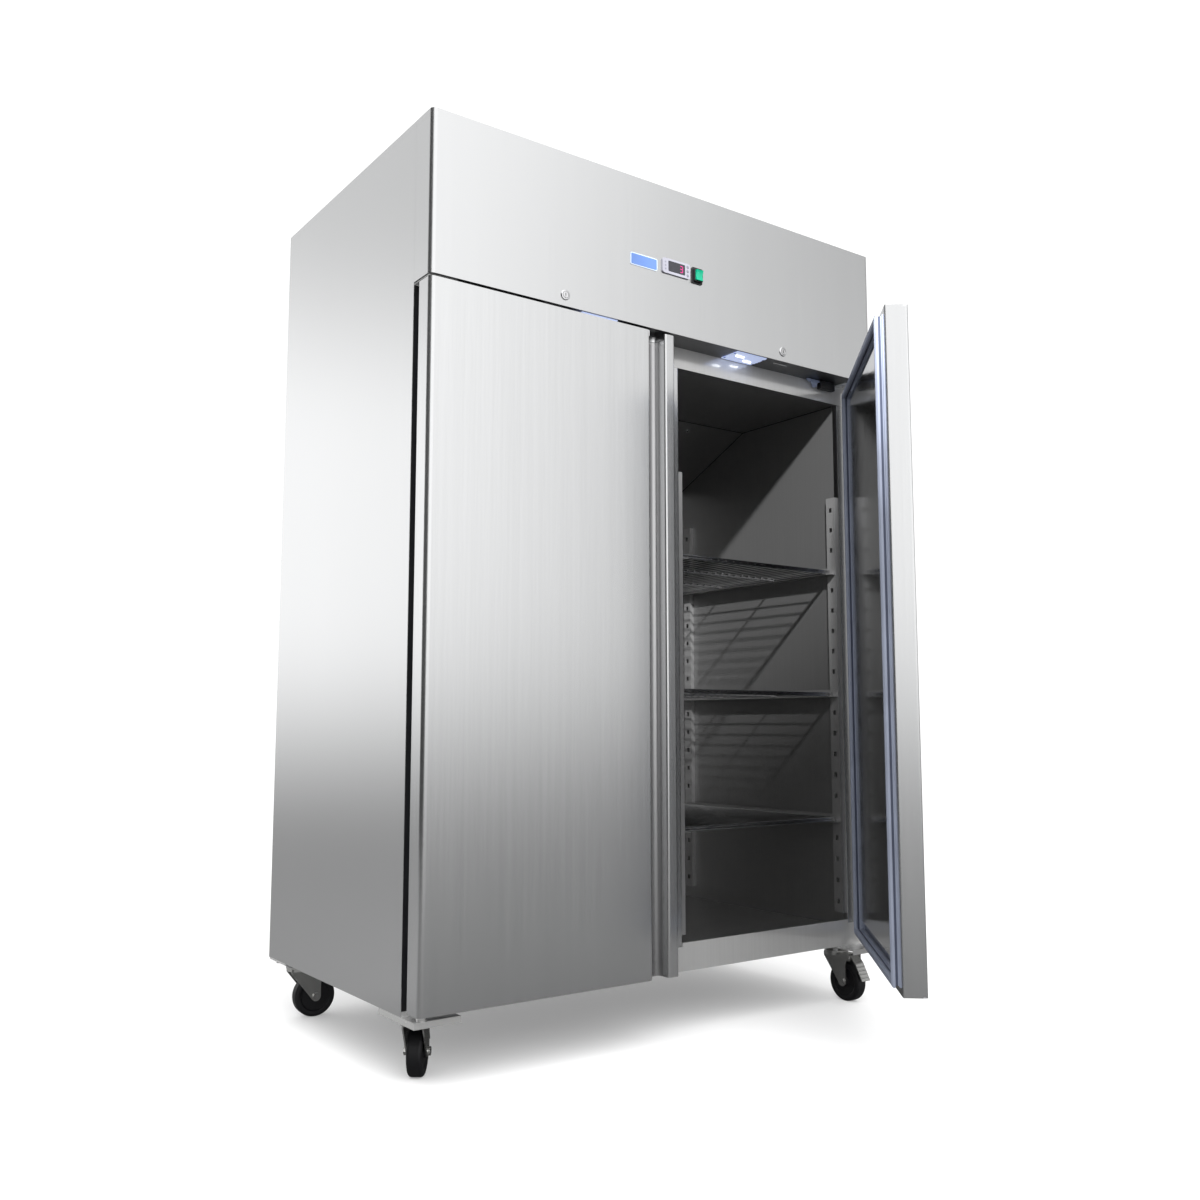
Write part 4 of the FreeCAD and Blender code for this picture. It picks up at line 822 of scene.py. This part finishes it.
# The five lit bars of a seven-bar three: where a bar's middle is, as shares of half the digit's
# width and height, and whether the bar stands upright.
DIGIT_BARS = ((0, 1, False), (0, 0, False), (0, -1, False), (1, 0.5, True), (1, -0.5, True))


def display_digit():
    """A lit figure three at the right of the display."""
    low, high, middle = between("controller_display")
    half_x = 0.0040
    half_z = 0.0075
    centre_x = high.x - 0.0115
    thick = 0.0009
    bars = []
    for share_x, share_z, upright in DIGIT_BARS:
        x = centre_x + share_x * half_x
        z = middle.z + share_z * half_z
        wide, tall = (thick, half_z / 2 - 0.0005) if upright else (half_x - 0.0005, thick)
        bars.append(face_plate((x - wide, x + wide), (z - tall, z + tall), thick * 0.8,
                               low.y - 0.00005, low.y - 0.0002))
    from_faces("display_digit", *joined(bars), DIGIT, "cabinet", "display")


def controller():
    """Frame of the controller with soft edges, and printed dots beside its keys."""
    refined("controller_bezel", 0.0009, 3)
    refined("controller_display", 0.0004)
    for key in ("key_up", "key_set", "key_down"):
        refined(key, 0.0005, 3)
    low, high, _ = between("controller_bezel")
    dots = []
    for number in range(3):
        z = low.z + 0.010 + number * 0.0085
        x = low.x + 0.0085
        dots.append(face_plate((x - 0.0022, x + 0.0022), (z - 0.0022, z + 0.0022), 0.002,
                               low.y + 0.0001, low.y - 0.0001))
    from_faces("controller_lamps", *joined(dots), MATERIALS["key"], "cabinet", "key")


def lock(side):
    """Soften a lock's plug, which keeps its slit, and give its middle."""
    node = "lock_" + side
    refined(node, 0.0005, 2)
    return Vector(JOINTS[node + "_turn"]["pos_m"])


def lock_rings():
    """Chromed ring and barrel round each lock's plug."""
    profile = [(0.0072, 0.0), (0.0072, 0.0016), (0.0082, 0.0026), (0.0106, 0.0024),
               (0.0119, 0.0012), (0.0120, 0.0), (0.0096, 0.0), (0.0096, -0.0195),
               (0.0072, -0.0195), (0.0072, 0.0)]
    rings = []
    for side in ("left", "right"):
        centre = lock(side)
        rings.append(moved(lathe(profile, 48), facing(centre.x, FRONT, centre.z)))
    piece = from_faces("lock_rings", *joined(rings), MATERIALS["lock_chrome"], "cabinet",
                       "lock_chrome")
    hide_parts("lock_housings")


badge()
controller()
display_digit()
lock_rings()
refined("switch_bezel", 0.0008, 3)
refined("rocker", 0.0009, 3)
SWITCH_CASE_X = 0.533       # outside this a door sensor is its black case, inside it the pale cap
switches = refined("door_switches", 0.0008)
switches.data.materials.append(MATERIALS["switch_black"])
for face in switches.data.polygons:
    if abs(face.center.x) > SWITCH_CASE_X:
        face.material_index = 1


# ---- lamps ----------------------------------------------------------------------------------
def lamps():
    """Ribbed lens over each lamp, with its four clips and two lit tubes."""
    low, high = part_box("lamp_diffuser")
    outer = -low.x
    length = 0.099
    ribs = 12
    outline = [(low.y, high.z), (low.y, low.z + 0.0012)]
    for number in range(ribs + 1):
        share = number / ribs
        depth = 0.0 if number % 2 else 0.0008
        outline.append((low.y + 0.002 + (high.y - low.y - 0.004) * share, low.z + depth))
    outline += [(high.y, low.z + 0.0012), (high.y, high.z)]
    count = len(outline)
    parts = []
    clips = []
    for sign in (-1, 1):
        x = sorted((sign * outer, sign * (outer - length)))
        points = [(x[0], y, z) for y, z in outline] + [(x[1], y, z) for y, z in outline]
        faces = [tuple(range(count)), tuple(reversed(range(count, 2 * count)))]
        for index in range(count):
            after = (index + 1) % count
            faces.append((index, after, after + count, index + count))
        parts.append((points, faces))
        for end in x:
            for y in (low.y + 0.012, high.y - 0.012):
                inside = end + (0.004 if end == x[0] else -0.004)
                near = min(end, inside)
                clips.append(block((near, y - 0.004, low.z), (near + 0.004, y + 0.004, high.z)))
    piece = from_faces("lamp_lenses", *joined(parts), MATERIALS["lamp_lens"], "cabinet",
                       "lamp_lens")
    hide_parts("lamp_diffuser")
    glows = []
    for sign in (-1, 1):
        for share in (0.30, 0.72):
            x = sign * (outer - length * share)
            y = low.y + (high.y - low.y) * (0.68 if share < 0.5 else 0.36)
            z = low.z + 0.0009
            glows.append(rod((x - 0.013, y, z), (x + 0.013, y, z), 0.0035, 10))
    from_faces("lamp_tubes", *joined(glows), LAMP_GLOW, "cabinet", "lamp_lens")
    from_faces("lamp_clips", *joined(clips), MATERIALS["sensor_plastic"], "cabinet",
               "sensor_plastic", bevel=0.0004)


lamps()


# ---- machine bay ----------------------------------------------------------------------------
for node in ("fan_shroud", "compressor", "evaporator"):
    refined(node, 0.0004)
refined("back_panel", 0.0003)


# ---- studio ---------------------------------------------------------------------------------
CAMERA_AT = Vector((-1.7115, -2.4454, 0.7140))
CAMERA_AZIMUTH = -35.76     # degrees; zero looks along +Y
CAMERA_TILT = 6.18          # degrees upward
LENS = 34.43                # focal length on a 36 mm sensor


def camera():
    """Camera low at the left front, looking slightly up."""
    data = bpy.data.cameras.new("camera")
    data.lens = LENS
    data.sensor_width = 36.0
    data.clip_end = 200.0
    thing = bpy.data.objects.new("camera", data)
    thing.location = CAMERA_AT
    thing.rotation_euler = Euler((math.radians(90 + CAMERA_TILT), 0, math.radians(CAMERA_AZIMUTH)))
    bpy.context.scene.collection.objects.link(thing)
    bpy.context.scene.camera = thing


def floor():
    """Plain pale floor, darker where polished steel mirrors it, most of all near the camera."""
    mesh = bpy.data.meshes.new("floor")
    half = 4.5
    corners = [(-half, -half, 0), (half, -half, 0), (half, half, 0), (-half, half, 0)]
    mesh.from_pydata(corners, [], [(0, 1, 2, 3)])
    thing = bpy.data.objects.new("floor", mesh)
    bpy.context.scene.collection.objects.link(thing)
    pale_shade = 0.68
    own_glow = 0.24
    near, near_shade = -0.4, 0.125
    far, far_shade = 0.4, 0.25
    material = bpy.data.materials.new("floor")
    material.use_nodes = True
    tree = material.node_tree
    tree.nodes.clear()
    pale = tree.nodes.new("ShaderNodeBsdfDiffuse")
    pale.inputs["Color"].default_value = (pale_shade, pale_shade, pale_shade, 1)
    dull = tree.nodes.new("ShaderNodeBsdfDiffuse")
    place = tree.nodes.new("ShaderNodeTexCoord")
    split = tree.nodes.new("ShaderNodeSeparateXYZ")
    tree.links.new(place.outputs["Object"], split.inputs[0])
    depth = tree.nodes.new("ShaderNodeMapRange")
    for socket, number in (("From Min", near), ("From Max", far),
                           ("To Min", near_shade), ("To Max", far_shade)):
        depth.inputs[socket].default_value = number
    tree.links.new(split.outputs["Y"], depth.inputs["Value"])
    tree.links.new(depth.outputs["Result"], dull.inputs["Color"])
    lift = tree.nodes.new("ShaderNodeEmission")
    lift.inputs["Strength"].default_value = own_glow
    lifted = tree.nodes.new("ShaderNodeAddShader")
    tree.links.new(pale.outputs[0], lifted.inputs[0])
    tree.links.new(lift.outputs[0], lifted.inputs[1])
    path = tree.nodes.new("ShaderNodeLightPath")
    mix = tree.nodes.new("ShaderNodeMixShader")
    out = tree.nodes.new("ShaderNodeOutputMaterial")
    tree.links.new(path.outputs["Is Camera Ray"], mix.inputs[0])
    tree.links.new(dull.outputs[0], mix.inputs[1])
    tree.links.new(lifted.outputs[0], mix.inputs[2])
    tree.links.new(mix.outputs[0], out.inputs[0])
    mesh.materials.append(material)
    return thing


def studio_sky():
    """White backdrop, an even dome for matt things and a graded room for steel to mirror."""
    world = bpy.data.worlds.new("studio")
    bpy.context.scene.world = world
    world.use_nodes = True
    tree = world.node_tree
    tree.nodes.clear()

    def calculate(operation, *values):
        made = tree.nodes.new("ShaderNodeMath")
        made.operation = operation
        for index, value in enumerate(values):
            if isinstance(value, (int, float)):
                made.inputs[index].default_value = value
            else:
                tree.links.new(value, made.inputs[index])
        return made.outputs[0]

    def graded(value, low, high, start, end, kind="SMOOTHSTEP"):
        """Strength that goes from start to end as the value goes from low to high."""
        made = tree.nodes.new("ShaderNodeMapRange")
        made.interpolation_type = kind
        tree.links.new(value, made.inputs["Value"])
        for socket, number in (("From Min", low), ("From Max", high),
                               ("To Min", start), ("To Max", end)):
            made.inputs[socket].default_value = number
        return made.outputs["Result"]

    place = tree.nodes.new("ShaderNodeTexCoord")
    split = tree.nodes.new("ShaderNodeSeparateXYZ")
    tree.links.new(place.outputs["Generated"], split.inputs[0])
    x, y, z = split.outputs
    # the mirrored room: dark below and bright above, with a dark left wall; dimmer to the right,
    # and dimmer again high up behind and high up on the far right
    rise = graded(z, -0.12, 0.08, 0.26, 1.38)
    right = graded(x, 0.42, 0.72, 1.08, 0.44, "LINEAR")
    behind = graded(y, -0.1, 0.1, 0.0, 1.0)
    high = graded(z, 0.24, 0.42, 0.0, 0.42)
    dim_behind = calculate("SUBTRACT", 1.0, calculate("MULTIPLY", behind, high))
    left = graded(x, -0.72, -0.58, 0.06, 1.0)
    sides = calculate("MULTIPLY", right, left)
    upper = graded(z, 0.28, 0.42, 0.0, 0.24)
    far_right = graded(x, 0.50, 0.66, 0.0, 1.0)
    dim_right = calculate("SUBTRACT", 1.0, calculate("MULTIPLY", upper, far_right))
    dims = calculate("MULTIPLY", dim_behind, dim_right)
    mirrored = calculate("MULTIPLY", calculate("MULTIPLY", rise, sides), dims)
    path = tree.nodes.new("ShaderNodeLightPath")
    shades = []
    dome = graded(z, 0.05, 0.55, 1.0, 1.25)
    backdrop = 1.15
    for strength in (dome, mirrored, backdrop):
        shade = tree.nodes.new("ShaderNodeBackground")
        shade.inputs["Color"].default_value = (1, 1, 1, 1)
        if isinstance(strength, float):
            shade.inputs["Strength"].default_value = strength
        else:
            tree.links.new(strength, shade.inputs["Strength"])
        shades.append(shade.outputs[0])
    result = shades[0]
    for ray, shade in (("Is Glossy Ray", shades[1]), ("Is Camera Ray", shades[2])):
        mix = tree.nodes.new("ShaderNodeMixShader")
        tree.links.new(path.outputs[ray], mix.inputs[0])
        tree.links.new(result, mix.inputs[1])
        tree.links.new(shade, mix.inputs[2])
        result = mix.outputs[0]
    out = tree.nodes.new("ShaderNodeOutputWorld")
    tree.links.new(result, out.inputs[0])


def add_light(data, name, at, towards):
    """Light that only matt surfaces show."""
    thing = bpy.data.objects.new(name, data)
    thing.location = at
    thing.rotation_euler = (Vector(towards) - Vector(at)).to_track_quat("-Z", "Y").to_euler()
    thing.visible_glossy = False
    bpy.context.scene.collection.objects.link(thing)
    return thing


def linked(light, thing, state):
    """Limit a light to one object, or leave that object out of its light."""
    group = bpy.data.collections.new(light.name + "_receivers")
    group.objects.link(thing)
    light.light_linking.receiver_collection = group
    group.collection_objects[0].light_linking.link_state = state


def lights(ground):
    """Narrow key from the upper left front into the open bay, and a soft light on the floor."""
    data = bpy.data.lights.new("key", "SPOT")
    data.energy = 3300
    data.shadow_soft_size = 0.10
    data.spot_size = math.radians(15)
    data.spot_blend = 1.0
    key = add_light(data, "key", (-2.4, -4.1, 4.4), (0.55, -0.2, 1.52))
    linked(key, ground, "EXCLUDE")
    data = bpy.data.lights.new("floor_light", "AREA")
    data.shape = "RECTANGLE"
    data.size, data.size_y = 5.0, 5.0
    data.energy = 360
    top = add_light(data, "floor_light", (-1.2, -3.2, 3.8), (0.0, 0.0, 0.0))
    linked(top, ground, "INCLUDE")


bpy.context.scene.view_settings.view_transform = "Standard"
camera()
studio_sky()
lights(floor())
